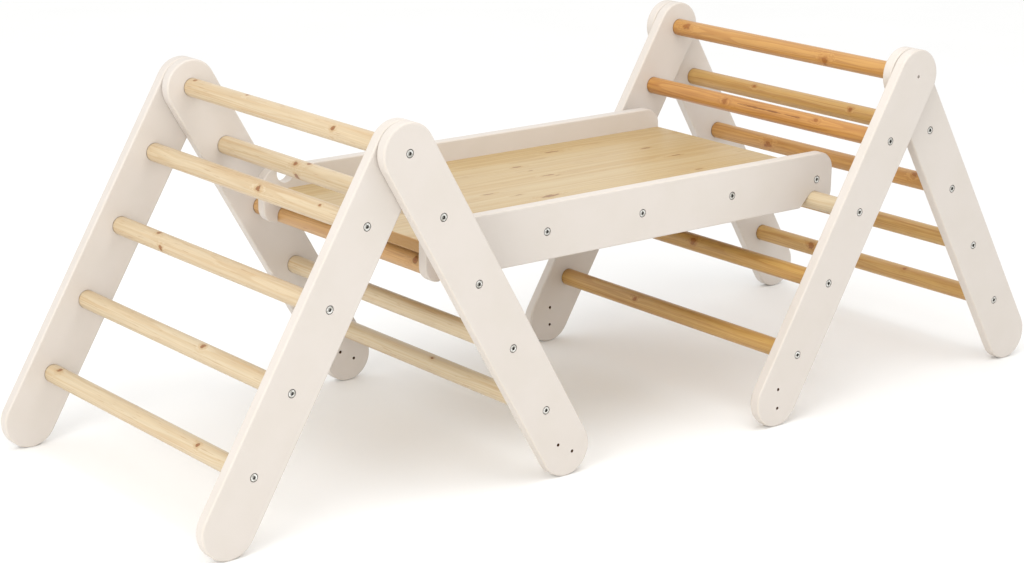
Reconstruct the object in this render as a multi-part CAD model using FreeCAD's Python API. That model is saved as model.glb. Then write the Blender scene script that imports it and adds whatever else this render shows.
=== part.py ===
import FreeCAD, Part
import math
import os

# Toddler climbing set: two folding A-frame stands and a reversible slide board.
#
# Each stand is two ladders of white-painted boards and round pine rungs that turn
# about one shared top rung, the axle. The ladder that faces the other stand is the
# "bridge" ladder, the other one is the "end" ladder. The slide board hangs level
# between the two stands, with a notch of each rail over the second bridge rung.
#
# All sizes are millimetres. +X runs along the slide board from the left stand to the
# right stand, +Y runs along the rungs from the near side to the far side, +Z is up.
# The origin is on the floor, under the middle of the whole set.
#
# A ladder is built in its own frame, with the axle on the Y axis, its legs hanging
# straight down -Z and its near face at y = 0, and is then leaned and carried to its
# stand. The slide board's own frame has the left hooked rung on the Y axis and its
# near face at y = 0.

V = FreeCAD.Vector

# --- ladder legs ---
LEG_WIDTH = 84.0                # flat width of a leg board; its ends are half circles
LEG_THICKNESS = 18.0
LEG_EDGE_ROUND = 3.0            # eased edge all round both faces
LEG_LEAN = 30.5                 # degrees between a leg and the vertical
LADDER_WIDTH = 566.0            # outside of the near leg to outside of the far leg
PIVOT_GAP = 1.2                 # space between the two legs that cross at the axle

# --- rungs ---
RUNG_DIAMETER = 28.0
RUNG_COUNT = 4                  # rungs of one ladder below the axle
FIRST_RUNG_DROP = 110.0         # axle to first rung, along the leg
RUNG_PITCH = 120.0
LAST_RUNG_TO_FOOT = 76.0        # last rung to the centre of the foot's half circle
SOCKET_DEPTH = 6.0              # how far a rung is let into a leg
SOCKET_CLEARANCE = 0.1          # radial, glued rung
RUNNING_CLEARANCE = 0.08        # radial, parts that turn on each other at the axle
AXLE_END_GAP = 0.3              # between turning faces at the axle

# --- socket-head wood screws ---
SCREW_HEAD_DIAMETER = 12.5
SCREW_HEAD_HEIGHT = 4.0
SCREW_SHANK_DIAMETER = 7.0
SCREW_THREAD_DIAMETER = 6.2
SCREW_THREAD_LENGTH = 30.0      # length that bites into the rung or the bed
SCREW_KEY_FLATS = 5.0           # hexagon socket, across flats
SCREW_KEY_DEPTH = 2.5
SCREW_HEAD_SET_BACK = 0.2       # head sits this far under the painted face
SCREW_CLEARANCE = 0.1           # radial, in every fixed hole
HOLE_RUN_OUT = 1.0              # pilot hole is this much deeper than its screw

# --- axle hardware ---
WASHER_DIAMETER = 24.0
WASHER_THICKNESS = 0.9
HEAD_TURN_CLEARANCE = 0.4       # radial, round a head that its leg turns about
PIN_DIAMETER = 5.0              # headless pin at the near end of the right axle
PIN_SET_BACK = 5.0              # depth of that pin under the face
PIN_GRIP = 28.0                 # length of that pin inside the axle

# --- accessory holes in the feet of the bridge ladders ---
FOOT_HOLE_DIAMETER = 5.0
FOOT_HOLE_SPACING = 30.0
FOOT_HOLE_TURN = 30.0           # degrees between the pair's line and the leg
FOOT_HOLE_RISE = 2.0            # centre of the pair above the foot's centre
FOOT_HOLE_OFFSET = 1.5          # centre of the pair to the side of the leg's centre line

# --- slide board ---
HOOK_SPAN = 717.0               # left hooked rung to right hooked rung
HOOKED_RUNG = 2                 # counted down from the axle
RAIL_HEIGHT = 84.0
RAIL_THICKNESS = 18.0
RAIL_OVERHANG = 39.0            # rail end beyond the hooked rung's axis
RAIL_DROP = 10.0                # rail's lower edge below the hooked rung's axis
RAIL_SIDE_GAP = 52.0            # leg's inner face to the rail
RAIL_NOSE_ROUND = 22.0          # corner radius beside a notch
RAIL_TAIL_ROUND = 28.0          # corner radius of the one corner with no notch
RAIL_EDGE_ROUND = 2.5
NOTCH_RADIUS_CLEARANCE = 1.5
NOTCH_REST_GAP = 0.3            # top of the notch above the rung it rests on
NOTCH_FLARE = 45.0              # slope of the notch's inner wall, degrees
NOTCH_LIP_ROUND = 4.0           # rounded corner where the flare meets the rail's edge
BED_THICKNESS = 18.0
BED_INSET = 17.0                # bed's left end inside the rails' left ends
BED_END_ROUND = 3.0             # rounded upper and lower edges of the bed's ends
RAIL_SCREW_COUNT = 5
RAIL_SCREW_INSET = 34.0         # first and last screw from the rail's ends

# --- climbing battens on the underside of the slide board ---
BATTEN_COUNT = 5
BATTEN_WIDTH = 30.0
BATTEN_THICKNESS = 14.0
BATTEN_ROUND = 4.0
BATTEN_END_GAP = 1.0            # batten's end to the rail
BATTEN_SCREW_DIAMETER = 4.0
BATTEN_SCREW_HEAD = 8.0
BATTEN_SCREW_HEAD_HEIGHT = 2.5
BATTEN_SCREW_GRIP = 11.0        # length in the bed
BATTEN_SCREW_INSET = 45.0       # from the batten's end
BATTEN_SLOT_WIDTH = 1.2         # cross recess in the head
BATTEN_SLOT_LENGTH = 5.0
BATTEN_SLOT_DEPTH = 1.4

# --- how the set stands ---
STAND_STAGGER = 28.8            # the right stand is this much nearer than the left

# --- how closely an edge has to match a place to be picked for rounding ---
SAME_LINE = 0.01
SAME_PLACE = 0.05

# --- worked out from the sizes above ---
LEAN = math.radians(LEG_LEAN)
RUNG_RADIUS = RUNG_DIAMETER / 2
LEG_RADIUS = LEG_WIDTH / 2
AXLE_TO_FOOT = FIRST_RUNG_DROP + (RUNG_COUNT - 1) * RUNG_PITCH + LAST_RUNG_TO_FOOT
AXLE_HEIGHT = AXLE_TO_FOOT * math.cos(LEAN) + LEG_RADIUS
HOOKED_RUNG_DROP = FIRST_RUNG_DROP + (HOOKED_RUNG - 1) * RUNG_PITCH
HOOKED_RUNG_HEIGHT = AXLE_HEIGHT - HOOKED_RUNG_DROP * math.cos(LEAN)
AXLE_SPAN = HOOK_SPAN + 2 * HOOKED_RUNG_DROP * math.sin(LEAN)
END_LADDER_OFFSET = LEG_THICKNESS + PIVOT_GAP
STAND_DEPTH = LADDER_WIDTH + END_LADDER_OFFSET
SET_DEPTH = STAND_DEPTH + STAND_STAGGER
LEFT_STAND_Y = STAND_STAGGER - SET_DEPTH / 2
RIGHT_STAND_Y = -SET_DEPTH / 2
SCREW_HEAD_RADIUS = SCREW_HEAD_DIAMETER / 2
SCREW_SHANK_RADIUS = SCREW_SHANK_DIAMETER / 2
SCREW_THREAD_RADIUS = SCREW_THREAD_DIAMETER / 2
SCREW_SEAT_DEPTH = SCREW_HEAD_SET_BACK + SCREW_HEAD_HEIGHT
PIN_RADIUS = PIN_DIAMETER / 2
SLIDE_WIDTH = LADDER_WIDTH - 2 * LEG_THICKNESS - 2 * RAIL_SIDE_GAP
SLIDE_NEAR_Y = LEFT_STAND_Y + LEG_THICKNESS + RAIL_SIDE_GAP
RAIL_LENGTH = HOOK_SPAN + 2 * RAIL_OVERHANG
BED_WIDTH = SLIDE_WIDTH - 2 * RAIL_THICKNESS
RAIL_MIDDLE_Z = RAIL_HEIGHT / 2 - RAIL_DROP
BED_UNDERSIDE_Z = RAIL_MIDDLE_Z - BED_THICKNESS / 2
NOTCH_RADIUS = RUNG_RADIUS + NOTCH_RADIUS_CLEARANCE
BATTEN_PITCH = HOOK_SPAN / (BATTEN_COUNT + 1)


# --- plain shapes ---

def cylinder_along_y(x, z, radius, y_start, y_end):
    """Return a round bar parallel to Y between two y values, given in either order."""
    low = min(y_start, y_end)
    return Part.makeCylinder(radius, abs(y_end - y_start), V(x, low, z), V(0, 1, 0))


def extrude_profile(points_and_arcs, y_start, depth):
    """Return a solid from a closed outline of edges in the plane y = 0."""
    face = Part.Face(Part.Wire(points_and_arcs))
    face.translate(V(0, y_start, 0))
    return face.extrude(V(0, depth, 0))


def hexagon_prism(x, z, across_flats, y_start, y_end):
    """Return a hexagonal prism parallel to Y."""
    corner_radius = across_flats / math.sqrt(3)
    corners = []
    for step in range(6):
        turn = math.radians(60 * step)
        corners.append(V(x + corner_radius * math.cos(turn), min(y_start, y_end),
                         z + corner_radius * math.sin(turn)))
    outline = Part.makePolygon(corners + [corners[0]])
    return Part.Face(outline).extrude(V(0, abs(y_end - y_start), 0))


def edges_parallel_to_y(shape, places):
    """Return the straight edges along Y that pass through the given (x, z) places."""
    found = []
    for edge in shape.Edges:
        first = edge.Vertexes[0].Point
        last = edge.Vertexes[-1].Point
        along_y = abs(first.x - last.x) < SAME_LINE and abs(first.z - last.z) < SAME_LINE
        if along_y and any(math.hypot(first.x - x, first.z - z) < SAME_PLACE for x, z in places):
            found.append(edge)
    return found


def edges_on_faces_y(shape, y_values):
    """Return the edges that lie wholly in one of the given planes y = constant."""
    found = []
    for edge in shape.Edges:
        box = edge.BoundBox
        for y in y_values:
            if abs(box.YMin - y) < SAME_LINE and abs(box.YMax - y) < SAME_LINE:
                found.append(edge)
    return found


# --- screws ---

def socket_screw(x, z, y_face, inward, shank_length, thread_length):
    """Return a hexagon-socket wood screw driven in from a face at y_face.

    inward is +1 or -1, the direction along Y from the head to the tip, and
    shank_length is counted from the face.
    """
    head_top = y_face + inward * SCREW_HEAD_SET_BACK
    head_seat = y_face + inward * SCREW_SEAT_DEPTH
    shank_end = y_face + inward * shank_length
    tip = shank_end + inward * thread_length
    screw = cylinder_along_y(x, z, SCREW_HEAD_RADIUS, head_top, head_seat)
    screw = screw.fuse(cylinder_along_y(x, z, SCREW_SHANK_RADIUS, head_seat, shank_end))
    screw = screw.fuse(cylinder_along_y(x, z, SCREW_THREAD_RADIUS, shank_end, tip))
    key_end = head_top + inward * SCREW_KEY_DEPTH
    return screw.cut(hexagon_prism(x, z, SCREW_KEY_FLATS, head_top, key_end))


def screw_hole(x, z, y_face, inward, through_depth):
    """Return the seat and through hole of a socket screw in a board."""
    seat_end = y_face + inward * SCREW_SEAT_DEPTH
    hole_end = y_face + inward * through_depth
    seat = cylinder_along_y(x, z, SCREW_HEAD_RADIUS + SCREW_CLEARANCE, y_face, seat_end)
    hole = cylinder_along_y(x, z, SCREW_SHANK_RADIUS + SCREW_CLEARANCE, y_face, hole_end)
    return seat.fuse(hole)


def pilot_hole(x, z, y_end_face, inward, radius, depth):
    """Return the blind hole that a screw or pin fills in the end of a rung or bed."""
    bottom = y_end_face + inward * (depth + HOLE_RUN_OUT)
    return cylinder_along_y(x, z, radius + SCREW_CLEARANCE, y_end_face, bottom)


# --- ladders, each in its own frame ---

def rung_drops():
    """Return each rung's distance from the axle, along the leg."""
    return [FIRST_RUNG_DROP + step * RUNG_PITCH for step in range(RUNG_COUNT)]


def leg_blank(y_near_face):
    """Return a leg board with half-round ends and eased edges."""
    top = Part.Arc(V(-LEG_RADIUS, 0, 0), V(0, 0, LEG_RADIUS), V(LEG_RADIUS, 0, 0))
    foot = Part.Arc(V(LEG_RADIUS, 0, -AXLE_TO_FOOT),
                    V(0, 0, -AXLE_TO_FOOT - LEG_RADIUS),
                    V(-LEG_RADIUS, 0, -AXLE_TO_FOOT))
    right = Part.makeLine(V(LEG_RADIUS, 0, 0), V(LEG_RADIUS, 0, -AXLE_TO_FOOT))
    left = Part.makeLine(V(-LEG_RADIUS, 0, -AXLE_TO_FOOT), V(-LEG_RADIUS, 0, 0))
    outline = [top.toShape(), right, foot.toShape(), left]
    blank = extrude_profile(outline, y_near_face, LEG_THICKNESS)
    faces = [y_near_face, y_near_face + LEG_THICKNESS]
    return blank.makeFillet(LEG_EDGE_ROUND, edges_on_faces_y(blank, faces))


def foot_holes(y_near_face):
    """Return the pair of accessory holes near the foot of a bridge leg."""
    turn = math.radians(FOOT_HOLE_TURN)
    half = FOOT_HOLE_SPACING / 2
    centre_z = -AXLE_TO_FOOT + FOOT_HOLE_RISE
    holes = []
    for side in (-1, 1):
        x = side * half * math.sin(turn) - FOOT_HOLE_OFFSET
        z = centre_z - side * half * math.cos(turn)
        holes.append(cylinder_along_y(x, z, FOOT_HOLE_DIAMETER / 2,
                                      y_near_face, y_near_face + LEG_THICKNESS))
    return holes


def leg_board(near_side, axle_cuts):
    """Return a ladder's near or far leg with its rung sockets and screw holes.

    axle_cuts takes the outer face and the inward direction and returns the solids
    to remove where the axle's own hardware goes through this leg.
    """
    y_near_face = 0.0 if near_side else LADDER_WIDTH - LEG_THICKNESS
    outer_face = 0.0 if near_side else LADDER_WIDTH
    inward = 1 if near_side else -1
    inner_face = outer_face + inward * LEG_THICKNESS
    socket_floor = inner_face - inward * SOCKET_DEPTH
    board = leg_blank(y_near_face)
    tools = axle_cuts(outer_face, inward)
    for drop in rung_drops():
        tools.append(cylinder_along_y(0, -drop, RUNG_RADIUS + SOCKET_CLEARANCE,
                                      socket_floor, inner_face))
        tools.append(screw_hole(0, -drop, outer_face, inward, LEG_THICKNESS))
    return board.cut(tools)


def bridge_near_axle_cuts(stand):
    """Return the function that cuts a bridge ladder's near leg for the axle."""
    def cuts(outer_face, inward):
        inner_face = outer_face + inward * LEG_THICKNESS
        if stand.near_pin:
            hole = cylinder_along_y(0, 0, PIN_RADIUS + SCREW_CLEARANCE, outer_face, inner_face)
        else:
            hole = screw_hole(0, 0, outer_face, inward, LEG_THICKNESS)
        return [hole] + foot_holes(outer_face)
    return cuts


def bridge_far_axle_cuts(outer_face, inward):
    """Cut a bridge ladder's far leg: a glued socket for the axle and a screw hole."""
    inner_face = outer_face + inward * LEG_THICKNESS
    socket_floor = inner_face - inward * SOCKET_DEPTH
    socket = cylinder_along_y(0, 0, RUNG_RADIUS + SOCKET_CLEARANCE, socket_floor, inner_face)
    hole = cylinder_along_y(0, 0, SCREW_SHANK_RADIUS + SCREW_CLEARANCE, outer_face, inner_face)
    return [socket, hole] + foot_holes(outer_face - LEG_THICKNESS)


def end_near_axle_cuts(stand):
    """Return the function that cuts an end ladder's near leg, which turns on the axle."""
    def cuts(outer_face, inward):
        inner_face = outer_face + inward * LEG_THICKNESS
        socket_floor = inner_face - inward * SOCKET_DEPTH
        socket = cylinder_along_y(0, 0, RUNG_RADIUS + RUNNING_CLEARANCE, socket_floor, inner_face)
        hole = cylinder_along_y(0, 0, stand.near_shaft_radius() + RUNNING_CLEARANCE,
                                outer_face, inner_face)
        return [socket, hole]
    return cuts


def end_far_axle_cuts(outer_face, inward):
    """Cut an end ladder's far leg, which turns about the far axle screw."""
    inner_face = outer_face + inward * LEG_THICKNESS
    seat_end = outer_face + inward * (SCREW_SEAT_DEPTH + AXLE_END_GAP)
    seat = cylinder_along_y(0, 0, SCREW_HEAD_RADIUS + HEAD_TURN_CLEARANCE, outer_face, seat_end)
    hole = cylinder_along_y(0, 0, SCREW_SHANK_RADIUS + RUNNING_CLEARANCE, outer_face, inner_face)
    return [seat, hole]


def ladder_rung(drop):
    """Return one rung with a pilot hole in each end."""
    near_end = LEG_THICKNESS - SOCKET_DEPTH
    far_end = LADDER_WIDTH - near_end
    rung = cylinder_along_y(0, -drop, RUNG_RADIUS, near_end, far_end)
    near_hole = pilot_hole(0, -drop, near_end, 1, SCREW_THREAD_RADIUS, SCREW_THREAD_LENGTH)
    far_hole = pilot_hole(0, -drop, far_end, -1, SCREW_THREAD_RADIUS, SCREW_THREAD_LENGTH)
    return rung.cut([near_hole, far_hole])


def rung_screws():
    """Return the two screws of every rung of one ladder."""
    shank_length = LEG_THICKNESS - SOCKET_DEPTH
    screws = []
    for drop in rung_drops():
        screws.append(socket_screw(0, -drop, 0, 1, shank_length, SCREW_THREAD_LENGTH))
        screws.append(socket_screw(0, -drop, LADDER_WIDTH, -1, shank_length, SCREW_THREAD_LENGTH))
    return Part.makeCompound(screws)


# --- axle of a stand, in the bridge ladder's frame before it is leaned ---

AXLE_NEAR_END = END_LADDER_OFFSET + LEG_THICKNESS - SOCKET_DEPTH + AXLE_END_GAP
AXLE_FAR_END = LADDER_WIDTH - LEG_THICKNESS + SOCKET_DEPTH


def top_rung(stand):
    """Return the shared top rung, glued in the bridge ladder's far leg."""
    rung = cylinder_along_y(0, 0, RUNG_RADIUS, AXLE_NEAR_END, AXLE_FAR_END)
    near_grip = PIN_GRIP if stand.near_pin else SCREW_THREAD_LENGTH
    near_radius = PIN_RADIUS if stand.near_pin else SCREW_THREAD_RADIUS
    near_hole = pilot_hole(0, 0, AXLE_NEAR_END, 1, near_radius, near_grip)
    far_hole = pilot_hole(0, 0, AXLE_FAR_END, -1, SCREW_THREAD_RADIUS, SCREW_THREAD_LENGTH)
    return rung.cut([near_hole, far_hole])


def near_axle_screw():
    """Return the screw through both near legs into the top rung."""
    return socket_screw(0, 0, 0, 1, AXLE_NEAR_END, SCREW_THREAD_LENGTH)


def near_axle_pin():
    """Return the headless pin through both near legs into the top rung."""
    return cylinder_along_y(0, 0, PIN_RADIUS, PIN_SET_BACK, AXLE_NEAR_END + PIN_GRIP)


def far_axle_screw():
    """Return the screw through both far legs into the top rung."""
    outer_face = LADDER_WIDTH + END_LADDER_OFFSET
    return socket_screw(0, 0, outer_face, -1, outer_face - AXLE_FAR_END, SCREW_THREAD_LENGTH)


def axle_washers(stand):
    """Return the two thin washers between the crossing legs."""
    washers = []
    for y_start, shaft in ((LEG_THICKNESS, stand.near_shaft_radius()),
                           (LADDER_WIDTH, SCREW_SHANK_RADIUS)):
        disc = cylinder_along_y(0, 0, WASHER_DIAMETER / 2, y_start, y_start + WASHER_THICKNESS)
        hole = cylinder_along_y(0, 0, shaft + SCREW_CLEARANCE, y_start, y_start + WASHER_THICKNESS)
        washers.append(disc.cut(hole))
    return Part.makeCompound(washers)


# --- stands ---

class Stand:
    """One A-frame stand: where it is, which way it faces and its near axle pivot."""

    def __init__(self, name, axle_x, near_y, bridge_side, near_pin):
        self.name = name
        self.axle_x = axle_x
        self.near_y = near_y
        self.bridge_side = bridge_side      # +1 if the other stand is towards +X
        self.near_pin = near_pin            # a headless pin instead of a screw

    def near_shaft_radius(self):
        """Return the radius of the pin or screw shank at the near end of the axle."""
        return PIN_RADIUS if self.near_pin else SCREW_SHANK_RADIUS

    def place(self, shape, lean_side, y_offset):
        """Return the shape leaned towards lean_side and carried to this stand."""
        placed = shape.copy()
        placed.rotate(V(0, 0, 0), V(0, 1, 0), -lean_side * LEG_LEAN)
        placed.translate(V(self.axle_x, self.near_y + y_offset, AXLE_HEIGHT))
        return placed

    def bridge(self, shape):
        """Place a piece of the bridge ladder or of the axle."""
        return self.place(shape, self.bridge_side, 0.0)

    def end(self, shape):
        """Place a piece of the end ladder, one board further along the rungs."""
        return self.place(shape, -self.bridge_side, END_LADDER_OFFSET)

    def nodes(self):
        """Return every piece of this stand by name."""
        bridge = self.name + "_bridge_"
        end = self.name + "_end_"
        pieces = {
            bridge + "leg_near": self.bridge(leg_board(True, bridge_near_axle_cuts(self))),
            bridge + "leg_far": self.bridge(leg_board(False, bridge_far_axle_cuts)),
            end + "leg_near": self.end(leg_board(True, end_near_axle_cuts(self))),
            end + "leg_far": self.end(leg_board(False, end_far_axle_cuts)),
            self.name + "_top_rung": self.bridge(top_rung(self)),
            self.name + "_axle_washers": self.bridge(axle_washers(self)),
            self.name + "_axle_screw_far": self.bridge(far_axle_screw()),
            bridge + "rung_screws": self.bridge(rung_screws()),
            end + "rung_screws": self.end(rung_screws()),
        }
        for number, drop in enumerate(rung_drops(), start=1):
            pieces[bridge + "rung_" + str(number)] = self.bridge(ladder_rung(drop))
            pieces[end + "rung_" + str(number)] = self.end(ladder_rung(drop))
        if self.near_pin:
            pieces[self.name + "_axle_pin_near"] = self.bridge(near_axle_pin())
        else:
            pieces[self.name + "_axle_screw_near"] = self.bridge(near_axle_screw())
        return pieces


# --- slide board, in its own frame ---

RAIL_LEFT_X = -RAIL_OVERHANG
RAIL_RIGHT_X = HOOK_SPAN + RAIL_OVERHANG
RAIL_BOTTOM_Z = -RAIL_DROP
RAIL_TOP_Z = RAIL_HEIGHT - RAIL_DROP
NOTCH_CENTRE_Z = RUNG_RADIUS + NOTCH_REST_GAP - NOTCH_RADIUS


def notch_tool(x, towards_middle, y_start):
    """Return the solid that cuts one notch in a rail's lower edge.

    The notch is round over the rung, upright on the side of the rail's end and
    flared towards the rail's middle, so that the board can also hang at a slope.
    The corner where the flare meets the rail's edge is rounded.
    """
    flare = math.radians(NOTCH_FLARE)
    side = towards_middle
    below = RAIL_BOTTOM_Z - RAIL_HEIGHT
    upright_top = V(x - side * NOTCH_RADIUS, 0, NOTCH_CENTRE_Z)
    upright_foot = V(x - side * NOTCH_RADIUS, 0, below)
    crown = V(x, 0, NOTCH_CENTRE_Z + NOTCH_RADIUS)
    flare_top = V(x + side * NOTCH_RADIUS * math.sin(flare), 0,
                  NOTCH_CENTRE_Z + NOTCH_RADIUS * math.cos(flare))
    run = (flare_top.z - RAIL_BOTTOM_Z) / math.tan(flare)
    corner = V(flare_top.x + side * run, 0, RAIL_BOTTOM_Z)
    up_the_flare = V(-side * math.cos(flare), 0, math.sin(flare))
    along_the_edge = V(side, 0, 0)
    into_the_rail = (up_the_flare + along_the_edge).normalize()
    half_corner = (math.pi - flare) / 2
    lip_start = corner + up_the_flare * (NOTCH_LIP_ROUND / math.tan(half_corner))
    lip_middle = corner + into_the_rail * (NOTCH_LIP_ROUND / math.sin(half_corner) - NOTCH_LIP_ROUND)
    lip_end = corner + along_the_edge * (NOTCH_LIP_ROUND / math.tan(half_corner))
    lip_foot = V(lip_end.x, 0, below)
    outline = [
        Part.Arc(upright_top, crown, flare_top).toShape(),
        Part.makeLine(flare_top, lip_start),
        Part.Arc(lip_start, lip_middle, lip_end).toShape(),
        Part.makeLine(lip_end, lip_foot),
        Part.makeLine(lip_foot, upright_foot),
        Part.makeLine(upright_foot, upright_top),
    ]
    return extrude_profile(outline, y_start, RAIL_THICKNESS)


def mirror_up(shape):
    """Return the shape turned over about the rail's long middle line."""
    return shape.mirror(V(0, 0, RAIL_MIDDLE_Z), V(0, 0, 1))


def rail_screw_places():
    """Return the x of every screw along a rail."""
    first = RAIL_LEFT_X + RAIL_SCREW_INSET
    pitch = (RAIL_LENGTH - 2 * RAIL_SCREW_INSET) / (RAIL_SCREW_COUNT - 1)
    return [first + step * pitch for step in range(RAIL_SCREW_COUNT)]


def slide_rail(y_start, outer_face, inward):
    """Return one rail: notches under both ends and on top of the left end."""
    rail = Part.makeBox(RAIL_LENGTH, RAIL_THICKNESS, RAIL_HEIGHT,
                        V(RAIL_LEFT_X, y_start, RAIL_BOTTOM_Z))
    nose_corners = [(RAIL_LEFT_X, RAIL_BOTTOM_Z), (RAIL_LEFT_X, RAIL_TOP_Z),
                    (RAIL_RIGHT_X, RAIL_BOTTOM_Z)]
    rail = rail.makeFillet(RAIL_NOSE_ROUND, edges_parallel_to_y(rail, nose_corners))
    tail_corner = [(RAIL_RIGHT_X, RAIL_TOP_Z)]
    rail = rail.makeFillet(RAIL_TAIL_ROUND, edges_parallel_to_y(rail, tail_corner))
    faces = [y_start, y_start + RAIL_THICKNESS]
    rail = rail.makeFillet(RAIL_EDGE_ROUND, edges_on_faces_y(rail, faces))
    left_notch = notch_tool(0, 1, y_start)
    right_notch = notch_tool(HOOK_SPAN, -1, y_start)
    rail = rail.cut([left_notch, right_notch, mirror_up(left_notch)])
    holes = [screw_hole(x, RAIL_MIDDLE_Z, outer_face, inward, RAIL_THICKNESS)
             for x in rail_screw_places()]
    return rail.cut(holes)


def slide_bed():
    """Return the board that children slide on, let in between the rails."""
    left = RAIL_LEFT_X + BED_INSET
    length = RAIL_RIGHT_X - left
    bed = Part.makeBox(length, BED_WIDTH, BED_THICKNESS,
                       V(left, RAIL_THICKNESS, BED_UNDERSIDE_Z))
    corners = [(x, z) for x in (left, left + length)
               for z in (BED_UNDERSIDE_Z, BED_UNDERSIDE_Z + BED_THICKNESS)]
    bed = bed.makeFillet(BED_END_ROUND, edges_parallel_to_y(bed, corners))
    near_side = RAIL_THICKNESS
    far_side = SLIDE_WIDTH - RAIL_THICKNESS
    holes = []
    for x in rail_screw_places():
        holes.append(pilot_hole(x, RAIL_MIDDLE_Z, near_side, 1,
                                SCREW_THREAD_RADIUS, SCREW_THREAD_LENGTH))
        holes.append(pilot_hole(x, RAIL_MIDDLE_Z, far_side, -1,
                                SCREW_THREAD_RADIUS, SCREW_THREAD_LENGTH))
    for x, y in batten_screw_places():
        holes.append(Part.makeCylinder(BATTEN_SCREW_DIAMETER / 2 + SCREW_CLEARANCE,
                                       BATTEN_SCREW_GRIP + HOLE_RUN_OUT,
                                       V(x, y, BED_UNDERSIDE_Z)))
    return bed.cut(holes)


def rail_screws(outer_face, inward):
    """Return the screws that hold one rail to the bed."""
    return Part.makeCompound([
        socket_screw(x, RAIL_MIDDLE_Z, outer_face, inward, RAIL_THICKNESS, SCREW_THREAD_LENGTH)
        for x in rail_screw_places()])


def batten_places():
    """Return the x of every batten's middle."""
    return [BATTEN_PITCH * number for number in range(1, BATTEN_COUNT + 1)]


def batten_screw_places():
    """Return the (x, y) of every batten screw."""
    near = RAIL_THICKNESS + BATTEN_END_GAP + BATTEN_SCREW_INSET
    return [(x, y) for x in batten_places() for y in (near, SLIDE_WIDTH - near)]


def climb_batten(x):
    """Return one batten under the bed, with rounded lower edges and screw seats."""
    length = BED_WIDTH - 2 * BATTEN_END_GAP
    bottom = BED_UNDERSIDE_Z - BATTEN_THICKNESS
    batten = Part.makeBox(BATTEN_WIDTH, length, BATTEN_THICKNESS,
                          V(x - BATTEN_WIDTH / 2, RAIL_THICKNESS + BATTEN_END_GAP, bottom))
    corners = [(x - BATTEN_WIDTH / 2, bottom), (x + BATTEN_WIDTH / 2, bottom)]
    batten = batten.makeFillet(BATTEN_ROUND, edges_parallel_to_y(batten, corners))
    holes = []
    for place_x, y in batten_screw_places():
        if place_x == x:
            holes.append(Part.makeCylinder(BATTEN_SCREW_DIAMETER / 2 + SCREW_CLEARANCE,
                                           BATTEN_THICKNESS, V(x, y, bottom)))
            holes.append(Part.makeCone(BATTEN_SCREW_HEAD / 2 + SCREW_CLEARANCE,
                                       BATTEN_SCREW_DIAMETER / 2 + SCREW_CLEARANCE,
                                       BATTEN_SCREW_HEAD_HEIGHT, V(x, y, bottom)))
    return batten.cut(holes)


def batten_screws():
    """Return the countersunk screws of every batten, driven up into the bed."""
    bottom = BED_UNDERSIDE_Z - BATTEN_THICKNESS
    length = BATTEN_THICKNESS + BATTEN_SCREW_GRIP
    screws = []
    for x, y in batten_screw_places():
        screw = Part.makeCylinder(BATTEN_SCREW_DIAMETER / 2, length, V(x, y, bottom))
        head = Part.makeCone(BATTEN_SCREW_HEAD / 2, BATTEN_SCREW_DIAMETER / 2,
                             BATTEN_SCREW_HEAD_HEIGHT, V(x, y, bottom))
        slots = []
        for size_x, size_y in ((BATTEN_SLOT_LENGTH, BATTEN_SLOT_WIDTH),
                               (BATTEN_SLOT_WIDTH, BATTEN_SLOT_LENGTH)):
            slots.append(Part.makeBox(size_x, size_y, BATTEN_SLOT_DEPTH,
                                      V(x - size_x / 2, y - size_y / 2, bottom)))
        screws.append(screw.fuse(head).cut(slots))
    return Part.makeCompound(screws)


def slide_board_nodes():
    """Return every piece of the slide board by name, hooked on both stands."""
    pieces = {
        "slide_rail_near": slide_rail(0, 0, 1),
        "slide_rail_far": slide_rail(SLIDE_WIDTH - RAIL_THICKNESS, SLIDE_WIDTH, -1),
        "slide_bed": slide_bed(),
        "rail_screws_near": rail_screws(0, 1),
        "rail_screws_far": rail_screws(SLIDE_WIDTH, -1),
        "batten_screws": batten_screws(),
    }
    for number, x in enumerate(batten_places(), start=1):
        pieces["climb_batten_" + str(number)] = climb_batten(x)
    for shape in pieces.values():
        shape.translate(V(-HOOK_SPAN / 2, SLIDE_NEAR_Y, HOOKED_RUNG_HEIGHT))
    return pieces


def main():
    """Build every piece and write one STEP file for each."""
    left = Stand("left", -AXLE_SPAN / 2, LEFT_STAND_Y, 1, False)
    right = Stand("right", AXLE_SPAN / 2, RIGHT_STAND_Y, -1, True)
    pieces = {}
    pieces.update(left.nodes())
    pieces.update(right.nodes())
    pieces.update(slide_board_nodes())
    os.makedirs("parts", exist_ok=True)
    for name, shape in pieces.items():
        shape.exportStep("parts/" + name + ".step")
    print(len(pieces), "pieces written")


main()
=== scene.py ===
"""Looks of a toddler climbing set: two folding A-frame stands and a reversible slide board.

The board is hooked between the stands, over one rung of each.

The painted boards and the axle's washers are the CAD nodes with their own finishes. The
round rungs, the slide's glued bed, its climbing battens and the socket screws are made
here, because they need timber cut from a log and heads that are turned and broached.

All sizes in the classes are millimetres; meshes are metres, in the CAD frame: +X from the
left stand to the right stand, +Y from the near side to the far side, +Z up.
"""
import logging
import math
import random
from collections.abc import Mapping, Sequence
from dataclasses import dataclass
from enum import Enum
from typing import Any

import bmesh
import bpy
from mathutils import Matrix, Vector


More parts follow.
